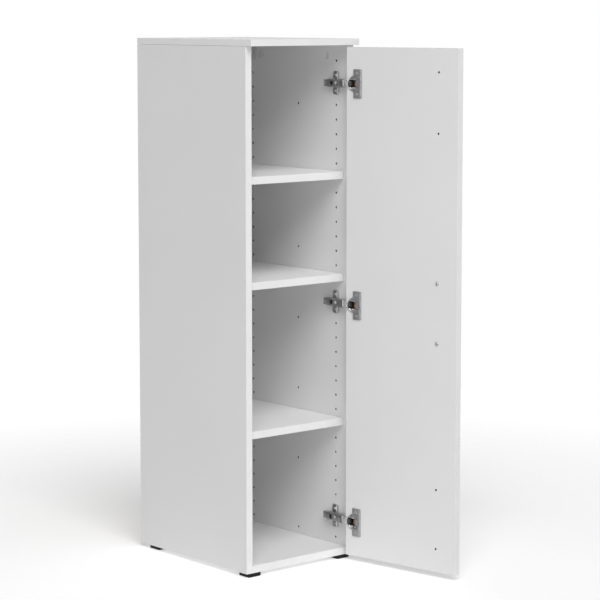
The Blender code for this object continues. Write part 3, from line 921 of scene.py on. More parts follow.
def screw_head(name, diameter, height, shank, reach, countersunk=False):
    """A screw's head on its shank, with a cross-shaped recess."""
    radius = diameter / 2
    outline = ((0.45, 0.98), (0.75, 0.84), (0.93, 0.55), (1.0, 0.2), (1.0, 0.0))
    if countersunk:
        outline = ((0.82, 1.0), (1.0, 0.7), (1.0, 0.0))
    profile = [(0, height)] + [(radius * out, height * up) for out, up in outline]
    profile += [(shank / 2, -0.05 * MM), (shank / 2, -reach), (0, -reach - shank / 4)]
    recess = cross_recess(radius * 0.62, fittings().recess / 2, height * 0.38, height + MM)
    return smooth(combined(mesh_of(turned(profile, 24), name), *recess))


def inner_face(node):
    """The x of the face that a node on the left or right side panel stands on, and its turn."""
    if "left" in node:
        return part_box("left_side_panel")[1].x, math.pi
    return WALL, 0.0


class CABINET_OT_shelf_pins(bpy.types.Operator):
    """Makes the twelve pins that the shelves lie on"""

    bl_idname = "cabinet.shelf_pins"
    bl_label = "Shelf pins"

    def execute(self, context):
        nodes = [f"pin_{level}_{side}_{row}" for level in LEVELS for side in SIDES for row in ROWS]
        points, turns = [], []
        for node in nodes:
            face, turn = inner_face(node)
            points.append((face, middle(node).y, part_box("shelf_" + node.split("_")[1])[0].z))
            turns.append(turn)
        add_copies("shelf_pins", self.pin(), points, "plastic", "cabinet", nodes,
                   turns=turns)
        return {"FINISHED"}

    def pin(self):
        """A ledge with a sloping underside, a collar at the wall and a shank in the hole."""
        low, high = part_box("pin_lower_right_front")
        tip, width = low.x - WALL, (high.y - low.y) / 2
        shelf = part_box("shelf_lower")[0].z
        ledge = box_shape((tip, -width, low.z - shelf), (-0.3 * MM, width, high.z - shelf))
        slope, shank_drop = 2.6 * MM, 3 * MM
        for vertex in ledge.verts:
            if vertex.co.z < -width and vertex.co.x < tip / 2:
                vertex.co.z += slope
        pin = mesh_of(rounded(ledge, fittings().pin_rounding), "shelf_pin")
        radius, thick = 3.6 * MM, 1.1 * MM
        collar = turned([(0, 0.1 * MM), (radius - 0.2 * MM, 0.1 * MM), (radius, -0.1 * MM),
                         (radius, -thick), (0, -thick)], 20)
        turn = Matrix.Rotation(math.pi / 2, 4, "Y")
        moved(collar, Matrix.Translation((-0.2 * MM, 0, -shank_drop)) @ turn)
        shank = rod_shape(2.15 * MM, (-MM, 0, 0), (high.x - WALL, 0, 0), 14)
        return smooth(combined(pin, ("UNION", mesh_of(collar, "collar")),
                               ("UNION", mesh_of(shank, "shank"))))


class CABINET_OT_feet(bpy.types.Operator):
    """Makes the four square feet"""

    bl_idname = "cabinet.feet"
    bl_label = "Feet"

    def execute(self, context):
        nodes = [f"foot_{row}_{side}" for row in ROWS for side in SIDES]
        low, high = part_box(nodes[0])
        half = (high.x - low.x) / 2
        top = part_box("left_side_panel")[0].z - CLEARANCE
        radius = fittings().foot_rounding * 2
        steps = ((0.0, -0.7 * MM), (0.8 * MM, 0.0), (top - 0.8 * MM, 0.0), (top, -0.4 * MM))
        sections = []
        for height, grow in steps:
            ring = rounded_outline((-half - grow,) * 2, (half + grow,) * 2, radius)
            sections.append([(x, y, height) for x, y in ring])
        peg = rod_shape(4 * MM, (0, 0, top - MM), (0, 0, high.z), 20)
        hollow = turned([(0, MM), (10 * MM, MM), (10 * MM, -MM), (0, -MM)], 32)
        foot = combined(mesh_of(loft(sections), "foot"), ("UNION", mesh_of(peg, "peg")),
                        ("DIFFERENCE", mesh_of(hollow, "hollow")))
        points = [(middle(node).x, middle(node).y, 0) for node in nodes]
        add_copies("feet", smooth(foot), points, "rubber", "cabinet", nodes)
        return {"FINISHED"}


class CABINET_OT_lock_covers(bpy.types.Operator):
    """Makes the four round cam locks, each with a cross-shaped recess in its cover"""

    bl_idname = "cabinet.lock_covers"
    bl_label = "Cam locks"

    def execute(self, context):
        nodes = [f"cam_lock_{row}_{side}" for row in ROWS for side in SIDES]
        low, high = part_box(nodes[0])
        radius, depth = (high.z - low.z) / 2, high.x - low.x
        profile = [(0, -0.5 * MM), (radius * 0.72, -0.5 * MM), (radius * 0.8, 0.0),
                   (radius * 0.95, 0.0), (radius, -0.4 * MM), (radius, -depth), (0, -depth)]
        cover = mesh_of(turned(profile, 36), "cam_lock")
        cover = smooth(combined(cover, *cross_recess(3.4 * MM, 0.8 * MM, -2.5 * MM, MM)))
        points, turns = [], []
        for node in nodes:
            face, turn = inner_face(node)
            points.append((face, middle(node).y, middle(node).z))
            turns.append(turn)
        add_copies("cam_locks", cover, points, "plastic", "cabinet", nodes,
                   turn=HEAD_TO_LEFT, turns=turns)
        return {"FINISHED"}


class CABINET_OT_wall_bracket(bpy.types.Operator):
    """Makes the bracket that ties the cabinet to a wall, with its slot and screws"""

    bl_idname = "cabinet.wall_bracket"
    bl_label = "Wall bracket"

    def execute(self, context):
        low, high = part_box("wall_bracket")
        sheet, corner, slot_inset, screw_inset = 1.4 * MM, 4 * MM, 9 * MM, 7 * MM
        outline = rounded_outline((low.y, low.z), (high.y, high.z), corner)
        plate = prism([(high.x, y, z) for y, z in outline], (-sheet, 0, 0))
        plate = mesh_of(rounded(plate, 0.3 * MM, 1), "bracket", finish("paint"))
        rib = box_shape((low.x, low.y + 16 * MM, low.z + 13 * MM),
                        (high.x - MM, high.y - 6 * MM, high.z - 13 * MM))
        slot_y, slot_z = low.y + slot_inset, (low.z + high.z) / 2
        slot = rod_shape(3 * MM, (low.x - MM, slot_y, slot_z), (high.x + MM, slot_y, slot_z), 24)
        plate = combined(plate, ("UNION", mesh_of(rounded(rib, 0.9 * MM), "rib")),
                         ("DIFFERENCE", mesh_of(slot, "slot")))
        add_piece("wall_bracket_plate", smooth(plate), "cabinet", ["wall_bracket"])
        head = screw_head("bracket_screw", 6.4 * MM, 0.9 * MM, 3 * MM, 1.2 * MM)
        points = [(high.x - sheet, high.y - slot_inset, z)
                  for z in (low.z + screw_inset, high.z - screw_inset)]
        add_copies("wall_bracket_screws", head, points, "screw", "cabinet",
                   turn=HEAD_TO_LEFT)
        return {"FINISHED"}


HANDLE_SIDES = 24
HANDLE_SQUARENESS = 0.6


class CABINET_OT_handle(bpy.types.Operator):
    """Makes the bow handle and the two bolts that hold it through the door"""

    bl_idname = "cabinet.handle"
    bl_label = "Handle"

    def execute(self, context):
        low, high = local_box("door_handle", DOOR_PLACE)
        lower, upper = handle_bolts()
        half_width, half_bar = (high.x - low.x) / 2, lower.z - low.z
        centre_x = (low.x + high.x) / 2
        sections = []
        for y, z, angle in self.route(low.y + half_bar, high.y, lower.z, upper.z):
            outward = Vector((0, -math.sin(angle), math.cos(angle)))
            section = []
            for step in range(HANDLE_SIDES):
                turn = math.tau * step / HANDLE_SIDES
                x, out = (
                    math.copysign(abs(part) ** HANDLE_SQUARENESS, part) * half
                    for part, half in ((math.cos(turn), half_width), (math.sin(turn), half_bar))
                )
                section.append(Vector((centre_x + x, y, z)) + outward * out)
            sections.append(section)
        made = smooth(mesh_of(loft(sections), "handle", finish("handle")), math.radians(50))
        add_piece("bow_handle", made, "door", ["door_handle"], DOOR_PLACE)
        self.bolts((lower, upper))
        return {"FINISHED"}

    def route(self, far, door_face, lower, upper):
        """(y, z, angle) along the bow's middle: out from the door, round a bend, and back."""
        radius, steps = fittings().handle_corner, 8
        route = [(door_face, lower, 0.0), (door_face - 6 * MM, lower, 0.0)]
        for step in range(steps + 1):
            angle = math.pi / 2 * step / steps
            route.append((far + radius - radius * math.sin(angle),
                          lower + radius - radius * math.cos(angle), angle))
        return route + [(y, lower + upper - z, math.pi - angle)
                        for y, z, angle in reversed(route)]

    def bolts(self, places):
        low, high = local_box("handle_bolt_lower", DOOR_PLACE)
        face = local_box("door_panel", DOOR_PLACE)[1].y
        gap = 0.1 * MM
        bolt = screw_head("bolt", high.x - low.x, high.y - face - gap, 4 * MM, face - low.y)
        points = [(place.x, face + gap, place.z) for place in places]
        add_copies("handle_bolts", bolt, points, "screw", "door",
                   ["handle_bolt_lower", "handle_bolt_upper"], DOOR_PLACE, HEAD_TO_REAR)


# --------------------------------------------------------------------------- hinges


PLATE_POINTS = [(WALL, HINGE_LINE, height) for height in HINGE_HEIGHTS]
AXIS_POINTS = [(0, 0, height) for height in HINGE_HEIGHTS]
WALL_PLACE = Matrix.Translation(PLATE_POINTS[0])
BOTH_WAYS = (-1, 1)


def hinge_nodes(title):
    return [f"{title}_{name}" for name in LEVELS]


def lever_path(y):
    """How far from the door's axis the hollows round the outer lever end, at one depth."""
    return math.sqrt(LEVER_REACH ** 2 - y ** 2)


class CABINET_OT_hinge_plates(bpy.types.Operator):
    """Makes the cross-shaped mounting plates and their screws"""

    bl_idname = "cabinet.hinge_plates"
    bl_label = "Hinge plates"

    def execute(self, context):
        low, high = local_box("mounting_plate_lower", WALL_PLACE)
        half, wing, back, block_half = high.z, 9.5 * MM, high.x, 6 * MM
        thickness, boss_rise, boss_aside = 1.3 * MM, 0.5 * MM, 0.6 * MM
        top = back - thickness
        outline = rounded_outline((-wing, -half), (wing, half), hinges().corner)
        plate = prism([(back, y, z) for y, z in outline], (top - back, 0, 0))
        plate = mesh_of(rounded(plate, hinges().chamfer, 1), "plate", finish("steel"))
        block = box_shape((low.x, low.y, -block_half), (back - 0.2 * MM, high.y, block_half))
        pocket = box_shape((low.x - MM, -2.6 * MM, -4.8 * MM), (low.x + 6 * MM, 5.2 * MM, 4.8 * MM))
        changes = [("UNION", mesh_of(rounded(block, 0.8 * MM), "block"))]
        for sign in BOTH_WAYS:
            boss = turned([(0, boss_rise - top), (4.6 * MM, boss_rise - top),
                           (5.2 * MM, -0.1 * MM - top), (0, -0.1 * MM - top)], 24)
            place = Matrix.Translation((0, boss_aside, sign * HOLE_PITCH / 2))
            moved(boss, place @ Matrix.Rotation(-math.pi / 2, 4, "Y"))
            changes.append(("UNION", mesh_of(boss, "boss")))
        # The pocket's cut faces take the dark finish: painted shade inside it.
        changes.append(("DIFFERENCE", mesh_of(pocket, "pocket", finish("dark"))))
        add_copies("mounting_plates", smooth(combined(plate, *changes)), PLATE_POINTS, "steel",
                   "cabinet", hinge_nodes("mounting_plate"))
        self.strips(back, top, wing, half)
        self.screws(top)
        return {"FINISHED"}

    def strips(self, back, top, wing, half):
        """The bevels along the front edges of each plate's two wings, in the bright finish, which paints the
        highlight that they catch.
        """
        strips = []
        start, end_gap, peak = 9.6 * MM, 1.2 * MM, back - 2.3 * MM
        for sign in BOTH_WAYS:
            near, far = sorted((sign * start, sign * (half - end_gap)))
            strip = [(back - 0.2 * MM, -wing, near), (back - 0.5 * MM, -wing, near),
                     (peak, -4.9 * MM, near), (peak, -4.3 * MM, near),
                     (top + 0.2 * MM, -3.6 * MM, near)]
            strips.append(mesh_of(prism(strip, (0, 0, far - near)), "strip"))
        # The bright finish on these bevels is a painted highlight.
        add_copies("plate_strips", joined("strips", strips), PLATE_POINTS, "bright", "cabinet")

    def screws(self, top):
        low, high = local_box("plate_screw_lower_lower", WALL_PLACE)
        seat = top - 0.5 * MM
        head = screw_head("plate_screw", high.z - low.z, seat - low.x, 4.2 * MM, high.x - seat)
        points = [(WALL + seat, HINGE_LINE, height + sign * HOLE_PITCH / 2)
                  for height in HINGE_HEIGHTS for sign in BOTH_WAYS]
        nodes = [f"plate_screw_{name}_{level}" for name in LEVELS for level in ("lower", "upper")]
        add_copies("plate_screws", head, points, "screw", "cabinet", nodes,
                   turn=HEAD_TO_LEFT)


def channel_section(y, foot, top, half, sheet, radius, steps=3):
    """A U of bent sheet, open towards the side panel, at one place along the arm."""
    corner_x, corner_z = radius - top, half - radius

    def face(bend, out):
        points = [(-foot, half - sheet + out)]
        for step in range(steps + 1):
            angle = math.pi / 2 * step / steps
            points.append((corner_x - bend * math.sin(angle), corner_z + bend * math.cos(angle)))
        return points + [(x, -z) for x, z in reversed(points)]

    outline = face(radius, sheet) + face(radius - sheet, 0.0)[::-1]
    return [(x, y, z) for x, z in outline]


class CABINET_OT_hinge_arms(bpy.types.Operator):
    """Makes the hinge arms: a bent channel with its openings, nose, clip and screw"""

    bl_idname = "cabinet.hinge_arms"
    bl_label = "Hinge arms"

    def execute(self, context):
        low, high = local_box("hinge_arm_lower", WALL_PLACE)
        top, half = ARM_HEIGHT, high.z
        bend, room_for_nose = 2.4 * MM, 9.5 * MM
        front, rear = low.y + room_for_nose, high.y
        stations = (
            (rear, top - 1.4 * MM, half - 1.7 * MM),
            (rear - 9 * MM, top - 1.0 * MM, half - 1.5 * MM),
            (rear - 15 * MM, top - 0.2 * MM, half - 0.2 * MM),
            (rear - 19 * MM, top, half),
            (front + 6 * MM, top, half),
            (front + 3 * MM, top, half - 0.4 * MM),
            (front, top, half - 0.6 * MM),
        )
        sections = [channel_section(y, -high.x, above, wide, hinges().sheet, bend)
                    for y, above, wide in stations]
        arm = mesh_of(loft(sections), "arm", finish("steel"))
        arm = combined(arm, *self.openings(rear), *self.ears(half, front))
        add_copies("hinge_arms", smooth(arm, math.radians(38)), PLATE_POINTS, "steel", "cabinet",
                   hinge_nodes("hinge_arm"))
        self.nose(front, low)
        self.clip(rear)
        self.screw()
        return {"FINISHED"}

    def openings(self, rear):
        """The notch at the rear, the slot behind the plate's middle, and the screw's hole. Their cut faces take
        the dark finish, which paints the shade inside them.
        """
        above = -ARM_HEIGHT - MM
        notch = [(rear + MM, -NOTCH_HALF), (rear - 2 * MM, -NOTCH_HALF),
                 (rear - NOTCH_DEPTH, 0), (rear - 2 * MM, NOTCH_HALF), (rear + MM, NOTCH_HALF)]
        slot = rounded_outline((-2.4 * MM, -4.7 * MM), (5.0 * MM, 4.7 * MM), 1.4 * MM)
        hole_y = local_middle("arm_screw_lower", WALL_PLACE).y
        shapes = [prism([(above, y, z) for y, z in outline], (depth, 0, 0))
                  for outline, depth in ((notch, 3.9 * MM), (slot, 3 * MM))]
        shapes.append(rod_shape(2.6 * MM, (above, hole_y, 0), (above + 4 * MM, hole_y, 0), 20))
        # The dark finish on the cut faces paints the shade inside the openings.
        return [("DIFFERENCE", mesh_of(shape, "opening", finish("dark"))) for shape in shapes]

    def ears(self, half, front):
        """The two side walls run on past the channel and hold the levers' pins."""
        ears = []
        thick, deep, past, overlap = 1.4 * MM, 8 * MM, 4.4 * MM, 6 * MM
        outline = rounded_outline((-ARM_HEIGHT, front - past),
                                  (-ARM_HEIGHT + deep, front + overlap), 1.8 * MM)
        for sign in BOTH_WAYS:
            near, far = sorted((sign * (half - thick), sign * half))
            ear = prism([(x, y, near) for x, y in outline], (0, 0, far - near))
            ears.append(("UNION", mesh_of(rounded(ear, 0.25 * MM, 1), "ear")))
        return ears

    def nose(self, front, low):
        """The bright block in front of the arm, hollowed round the outer lever's path, and a dark box in the gap
        under it that paints the gap's shadow.
        """
        axis_x, axis_y = AXIS.x - WALL, AXIS.y - HINGE_LINE
        near, far, half, steps = front - 2.6 * MM, low.y + 5 * MM, 7.2 * MM, 4
        outline = [(-ARM_HEIGHT - 0.8 * MM, far), (-ARM_HEIGHT - 0.3 * MM, (near + far) / 2),
                   (-ARM_HEIGHT, near)]
        for step in range(steps + 1):
            y = near + (far - near) * step / steps
            outline.append((axis_x - lever_path(y - axis_y), y))
        block = rounded(prism([(x, y, -half) for x, y in outline], (0, 0, 2 * half)), 0.4 * MM)
        add_copies("hinge_noses", smooth(mesh_of(block, "nose")), PLATE_POINTS, "bright", "cabinet")
        # A dark box in the gap between the nose and the arm: painted shadow.
        web = board_mesh("web", (-ARM_HEIGHT + MM, near - 0.3 * MM, -6.9 * MM),
                         (-ARM_HEIGHT + 5 * MM, front + 1.5 * MM, 6.9 * MM), 0.2 * MM, None)
        add_copies("hinge_webs", web, PLATE_POINTS, "dark", "cabinet")

    def clip(self, rear):
        """The pointed clip that lies in the notch at the arm's rear end."""
        wide, gap = NOTCH_HALF - 1.5 * MM, 1.9 * MM
        half = [(2.0 * MM, rear - 0.4 * MM, -wide), (1.7 * MM, rear - gap - 1.4 * MM, -wide)]
        tip = (0.9 * MM, rear - NOTCH_DEPTH + 2 * gap, 0)
        outline = [*half, tip, *((x, y, -z) for x, y, z in reversed(half))]
        clip = prism([(x - ARM_HEIGHT, y, z) for x, y, z in outline], (1.1 * MM, 0, 0))
        add_copies("hinge_clips", mesh_of(rounded(clip, 0.2 * MM, 1), "clip"), PLATE_POINTS, "screw",
                   "cabinet")

    def screw(self):
        low, high = local_box("arm_screw_lower", WALL_PLACE)
        seat = -ARM_HEIGHT - 0.15 * MM
        head = screw_head("arm_screw", high.z - low.z, seat - low.x, 4.2 * MM, high.x - seat)
        line = HINGE_LINE + (low.y + high.y) / 2
        points = [(WALL + seat, line, height) for height in HINGE_HEIGHTS]
        add_copies("arm_screws", head, points, "screw", "cabinet",
                   hinge_nodes("arm_screw"), turn=HEAD_TO_LEFT)


class CABINET_OT_hinge_levers(bpy.types.Operator):
    """Makes the bright outer and dark inner levers, and the rivets in the outer ones"""

    bl_idname = "cabinet.hinge_levers"
    bl_label = "Hinge levers"

    def execute(self, context):
        lift = Matrix.Translation(AXIS_POINTS[0])
        for title, place, look in (("outer_lever", OUTER_PLACE, "bright"),
                                   ("inner_lever", INNER_PLACE, "dark")):
            shape = rounded(copy_of_node(f"{title}_lower", place @ lift), 0.35 * MM)
            add_copies(f"{title}s", smooth(mesh_of(shape, title)), AXIS_POINTS, look, f"{title}s",
                       hinge_nodes(title), place)
        self.rivets()
        return {"FINISHED"}

    def rivets(self):
        """Four rivet heads on the outer lever, near its corners."""
        low, high = local_box("outer_lever_lower", OUTER_PLACE)
        rise = (high.z - low.z) / 2 - 1.3 * MM
        heads = []
        for angle in RIVET_ANGLES:
            out = Vector((math.cos(angle), math.sin(angle), 0))
            turn = out.to_track_quat("Z", "Y").to_matrix().to_4x4()
            for sign in BOTH_WAYS:
                head = turned([(0, 0.3 * MM), (0.7 * MM, 0.26 * MM), (1.0 * MM, 0.1 * MM),
                               (1.0 * MM, -0.3 * MM), (0, -0.3 * MM)], 14)
                place = Matrix.Translation(out * RIVET_REACH + Vector((0, 0, sign * rise)))
                heads.append(mesh_of(moved(head, place @ turn), "rivet"))
        add_copies("lever_rivets", smooth(joined("rivets", heads)), AXIS_POINTS, "dark",
                   "outer_levers", place=OUTER_PLACE)


class CABINET_OT_hinge_cups(bpy.types.Operator):
    """Makes the cups with their flanges, screws, rollers and one soft-close damper"""

    bl_idname = "cabinet.hinge_cups"
    bl_label = "Hinge cups"

    def execute(self, context):
        low, high = local_box("hinge_cup_lower", DOOR_PLACE)
        roller = local_middle("cup_roller_lower", DOOR_PLACE)
        screws_inset, flange_past_roller = 13.7 * MM, 2.5 * MM
        screw_x = low.x + screws_inset
        flange = self.flange(low, high, roller.x + flange_past_roller)
        changes = [*self.cup(low, high, roller.x), *self.sinks(screw_x, high.y)]
        cups = smooth(combined(flange, *changes))
        add_copies("hinge_cups", cups, AXIS_POINTS, "steel", "door",
                   hinge_nodes("hinge_cup"), DOOR_PLACE)
        self.screws(screw_x, high.y)
        self.rollers()
        self.tabs(roller.x, high.y)
        damper_aside, damper_drop = 4.9 * MM, 10.3 * MM
        self.damper(roller.x - damper_aside, high.y, HINGE_HEIGHTS[0] - damper_drop)
        return {"FINISHED"}

    def flange(self, low, high, near):
        """The bevelled flange, with rounded corners."""
        half, lip, bevel, slope, drop = (high.z - low.z) / 2, high.y, 0.4 * MM, 4.2 * MM, 1.1 * MM
        outline = [(near, lip - CUP_SHEET), (near, lip - bevel), (near - bevel, lip),
                   (low.x + slope, lip), (low.x, lip - drop), (low.x, lip - CUP_SHEET)]
        flange = prism([(x, y, -half) for x, y in outline], (0, 0, 2 * half))
        edge = rounded_outline((low.x, -half), (near, half), 2 * MM)
        trim = prism([(x, lip - 3 * MM, z) for x, z in edge], (0, 6 * MM, 0))
        return combined(mesh_of(flange, "flange", finish("steel")),
                        ("INTERSECT", mesh_of(trim, "trim")))

    def cup(self, low, high, roller_x):
        """The round cup, the hollow round the outer lever's path, and the slot, whose faces take the dark finish
        as painted shade.
        """
        radius, lip, depth = CUP_RADIUS, high.y, low.y - high.y
        rim = turned([(0, -0.9 * MM), (radius - 3.0 * MM, -0.9 * MM), (radius - 2.3 * MM, 0),
                      (radius - 0.7 * MM, 0), (radius - 0.1 * MM, -0.5 * MM),
                      (radius, -CUP_SHEET), (radius - 0.5 * MM, depth + 0.8 * MM),
                      (radius - 1.5 * MM, depth), (0, depth)], 56)
        moved(rim, facing_rear(high.x - radius, lip, 0))
        floor, half, steps = low.y + 1.2 * MM, 7.8 * MM, 8
        swept = [(roller_x, lip + MM), (-lever_path(lip), lip + MM)]
        for step in range(steps + 1):
            y = lip + (floor - lip) * step / steps
            swept.append((-lever_path(y), y))
        swept.append((roller_x, floor))
        path = prism([(x, y, -half) for x, y in swept], (0, 0, 2 * half))
        edge = rounded_outline((roller_x - 1.9 * MM, -half), (high.x - 2.6 * MM, half), 1.6 * MM)
        slot = prism([(x, floor, z) for x, z in edge], (0, 16 * MM, 0))
        return [("UNION", mesh_of(rim, "rim")),
                ("DIFFERENCE", mesh_of(path, "path", finish("steel"))),
                # The slot's faces take the dark finish: painted shade.
                ("DIFFERENCE", mesh_of(slot, "slot", finish("dark")))]

    def sinks(self, screw_x, lip):
        """Two dimples beside the cup, whose faces take the dark finish as painted shade, and the countersinks of
        the flange's screws.
        """
        changes = []
        dimple_x, dimple_rise = screw_x - 2.6 * MM, 8.7 * MM
        for sign in BOTH_WAYS:
            z = sign * dimple_rise
            dimple = rod_shape(1.1 * MM, (dimple_x, lip - 0.6 * MM, z), (dimple_x, lip + MM, z), 16)
            # The dimple's faces take the dark finish: painted shade.
            changes.append(("DIFFERENCE", mesh_of(dimple, "dimple", finish("dark"))))
            z = sign * CUP_SCREW_RISE
            sink = rod_shape(3.7 * MM, (screw_x, lip - 0.45 * MM, z), (screw_x, lip + MM, z), 28)
            changes.append(("DIFFERENCE", mesh_of(sink, "sink")))
        return changes

    def screws(self, screw_x, lip):
        head = screw_head("cup_screw", 6.9 * MM, 0.5 * MM, 3.4 * MM, 9 * MM, countersunk=True)
        points = [(screw_x, lip - 0.4 * MM, height + sign * CUP_SCREW_RISE)
                  for height in HINGE_HEIGHTS for sign in BOTH_WAYS]
        add_copies("cup_screws", head, points, "screw", "door", place=DOOR_PLACE,
                   turn=HEAD_TO_REAR)

    def rollers(self):
        low, high = local_box("cup_roller_lower", DOOR_PLACE)
        radius, half = (high.x - low.x) / 2, (high.z - low.z) / 2
        profile = [(0, half), (radius * 0.6, half), (radius * 0.72, half - 0.3 * MM),
                   (radius, half - 0.9 * MM), (radius, 0.5 * MM), (radius * 0.9, 0.2 * MM)]
        profile += [(reach, -height) for reach, height in reversed(profile)]
        centre = (low + high) / 2
        points = [(centre.x, centre.y, height) for height in HINGE_HEIGHTS]
        add_copies("cup_rollers", smooth(mesh_of(turned(profile, 20), "roller")), points, "copper",
                   "door", hinge_nodes("cup_roller"), DOOR_PLACE)

    def tabs(self, x, lip):
        """Two bright tabs on the cup's face, above and below the slot."""
        back, front = lip - 0.2 * MM, lip + 0.35 * MM
        tabs = [board_mesh("tab", (x - left, back, low), (x + right, front, high), 0.15 * MM, None)
                for left, right, low, high in (
                    (2.0 * MM, 1.0 * MM, 7.9 * MM, 9.9 * MM),
                    (2.2 * MM, 4.6 * MM, -10.4 * MM, -7.9 * MM))]
        add_copies("cup_tabs", joined("tabs", tabs), AXIS_POINTS, "bright", "door",
                   place=DOOR_PLACE)

    def damper(self, x, lip, height):
        """The damper's round button below the lower roller: a dark ring with a grey middle."""
        place = facing_rear(x, lip, height)
        ring = turned([(0, 0.3 * MM), (3.3 * MM, 0.3 * MM), (3.5 * MM, 0.9 * MM),
                       (4.6 * MM, 0.9 * MM), (5.0 * MM, 0.5 * MM), (5.0 * MM, 0), (0, 0)], 32)
        ring = mesh_of(moved(ring, place), "damper_ring", finish("dark"))
        flat = box_shape((x - 6 * MM, lip - MM, height + 2.9 * MM),
                         (x + 6 * MM, lip + 2 * MM, height + 6 * MM))
        ring = smooth(combined(ring, ("DIFFERENCE", mesh_of(flat, "flat"))))
        add_piece("damper_ring", ring, "door", place=DOOR_PLACE)
        button = turned([(0, 0.85 * MM), (2.4 * MM, 0.8 * MM), (3.1 * MM, 0.5 * MM),
                         (3.1 * MM, 0.32 * MM), (0, 0.32 * MM)], 28)
        button = smooth(mesh_of(moved(button, place), "damper_button", finish("steel")))
        add_piece("damper_button", button, "door", place=DOOR_PLACE)


# --------------------------------------------------------------------------- studio


FLOOR_FADE = (0.7, 1.8)
FLOOR_RADIUS = 5.5
FLOOR_ROUGHNESS = 0.9
CAMERA_GLOW = 0.13
KEY_PLACE = Vector((-3.3, -5.7, 7.1))
KEY_TARGET = Vector((0, 0, 0.6))
KEY_SIZE = 6.0
CAMERA_PLACE = (-3.07475, -3.63012, 1.20526)
CAMERA_TURN = (math.pi / 2 - 0.11149, 0, -0.70301)
CAMERA_LENS = 132.68
CAMERA_SHIFT = -0.07
CAMERA_SENSOR = 36
CAMERA_REACH = 300


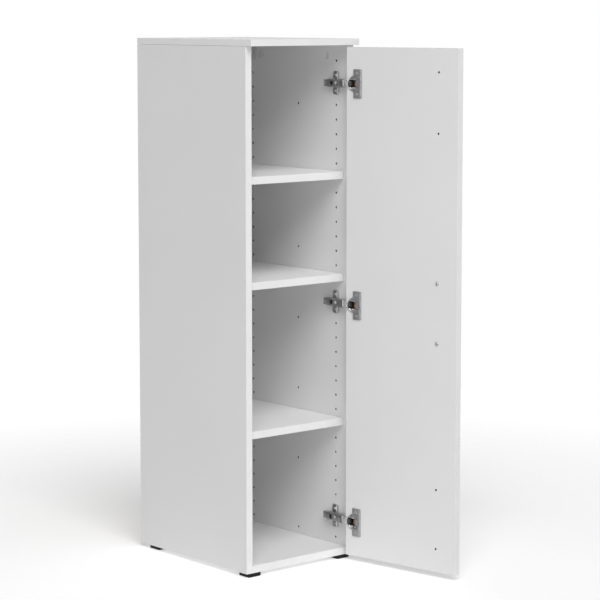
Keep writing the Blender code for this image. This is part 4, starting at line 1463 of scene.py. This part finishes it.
class CABINET_OT_studio(bpy.types.Operator):
    """Makes the pale floor, the soft lights and the camera"""

    bl_idname = "cabinet.studio"
    bl_label = "Studio"

    def execute(self, context):
        settings = context.scene.cabinet_studio
        self.floor(settings)
        self.sky(settings)
        self.key(settings)
        self.camera()
        context.scene.view_settings.view_transform = "Standard"
        return {"FINISHED"}

    def floor(self, settings):
        """Pale, with a glow of its own. For the camera alone it fades out with distance."""
        made = Finish("studio_floor", specular=0.0)
        made.colour(made.noise(3), settings.floor, 0.99, 1.01)
        made.shader.inputs["Roughness"].default_value = FLOOR_ROUGHNESS
        made.shader.inputs["Emission Color"].default_value = (1, 1, 1, 1)
        away = new_output(made.tree, "ShaderNodeVectorMath", "Value", {0: made.place},
                          operation="LENGTH")
        fade = made.spread(away, 1.0, 0.0, *FLOOR_FADE)
        seen = new_output(made.tree, "ShaderNodeLightPath", "Is Camera Ray")
        glow = new_output(made.tree, "ShaderNodeMath", 0, {
            0: seen, 1: CAMERA_GLOW, 2: settings.floor_glow,
        }, operation="MULTIPLY_ADD")
        made.tree.links.new(glow, made.shader.inputs["Emission Strength"])
        solid = new_output(made.tree, "ShaderNodeMath", 0, {0: 1.0, 1: seen}, operation="SUBTRACT")
        opaque = new_output(made.tree, "ShaderNodeMath", 0, {0: fade, 1: solid},
                            operation="MAXIMUM")
        made.tree.links.new(opaque, made.shader.inputs["Alpha"])
        disc = bmesh.new()
        bmesh.ops.create_circle(disc, cap_ends=True, segments=64, radius=FLOOR_RADIUS)
        linked("studio_floor", mesh_of(disc, "floor", made.material))

    def sky(self, settings):
        """White where the camera or a reflection looks past the floor, and softer as a light."""
        world = bpy.data.worlds.new("studio")
        world.use_nodes = True
        tree = world.node_tree
        tree.nodes.clear()
        seen, lit = (
            new_output(tree, "ShaderNodeBackground", 0, {"Color": (1, 1, 1, 1), "Strength": power})
            for power in (1.0, settings.sky)
        )
        rays = tree.nodes.new("ShaderNodeLightPath").outputs
        clear = new_output(tree, "ShaderNodeMath", 0, {
            0: rays["Is Camera Ray"], 1: rays["Is Glossy Ray"],
        }, operation="MAXIMUM")
        mix = new_output(tree, "ShaderNodeMixShader", 0, {0: clear, 1: lit, 2: seen})
        new_node(tree, "ShaderNodeOutputWorld", {"Surface": mix})
        bpy.context.scene.world = world

    def key(self, settings):
        """The one large, high light."""
        light = bpy.data.lights.new("key_light", "AREA")
        light.shape = "SQUARE"
        light.size = KEY_SIZE
        light.energy = settings.key_power
        lamp = linked("key_light", light)
        lamp.location = KEY_PLACE
        lamp.rotation_euler = (KEY_TARGET - KEY_PLACE).to_track_quat("-Z", "Y").to_euler()

    def camera(self):
        view = bpy.data.cameras.new("camera")
        view.sensor_width = CAMERA_SENSOR
        view.lens = CAMERA_LENS
        view.shift_y = CAMERA_SHIFT
        view.clip_end = CAMERA_REACH
        camera = linked("camera", view)
        camera.location = CAMERA_PLACE
        camera.rotation_euler = CAMERA_TURN
        bpy.context.scene.camera = camera


# --------------------------------------------------------------------------- add-on


OPERATORS = (
    CABINET_OT_side_panels,
    CABINET_OT_top_and_bottom,
    CABINET_OT_shelves,
    CABINET_OT_back_panel,
    CABINET_OT_door,
    CABINET_OT_shelf_pins,
    CABINET_OT_feet,
    CABINET_OT_lock_covers,
    CABINET_OT_wall_bracket,
    CABINET_OT_handle,
    CABINET_OT_hinge_plates,
    CABINET_OT_hinge_arms,
    CABINET_OT_hinge_levers,
    CABINET_OT_hinge_cups,
    CABINET_OT_studio,
)


class CABINET_PT_pieces(bpy.types.Panel):
    """Lists the pieces of the cabinet, and their sizes and colours"""

    bl_idname = "CABINET_PT_pieces"
    bl_label = "Locker cabinet"
    bl_space_type = "VIEW_3D"
    bl_region_type = "UI"
    bl_category = "Cabinet"

    def draw(self, context):
        for title in SETTINGS:
            settings = getattr(context.scene, title)
            section = self.layout.box()
            for field in settings.__annotations__:
                section.prop(settings, field)
        for operator in OPERATORS:
            self.layout.operator(operator.bl_idname)


def register():
    for title, group in SETTINGS.items():
        bpy.utils.register_class(group)
        setattr(bpy.types.Scene, title, bpy.props.PointerProperty(type=group))
    for cls in (*OPERATORS, CABINET_PT_pieces):
        bpy.utils.register_class(cls)


def unregister():
    for cls in (CABINET_PT_pieces, *reversed(OPERATORS)):
        bpy.utils.unregister_class(cls)
    for title, group in reversed(SETTINGS.items()):
        delattr(bpy.types.Scene, title)
        bpy.utils.unregister_class(group)


def main():
    register()
    for operator in OPERATORS:
        group, name = operator.bl_idname.split(".")
        getattr(getattr(bpy.ops, group), name)()


if __name__ == "__main__":
    main()
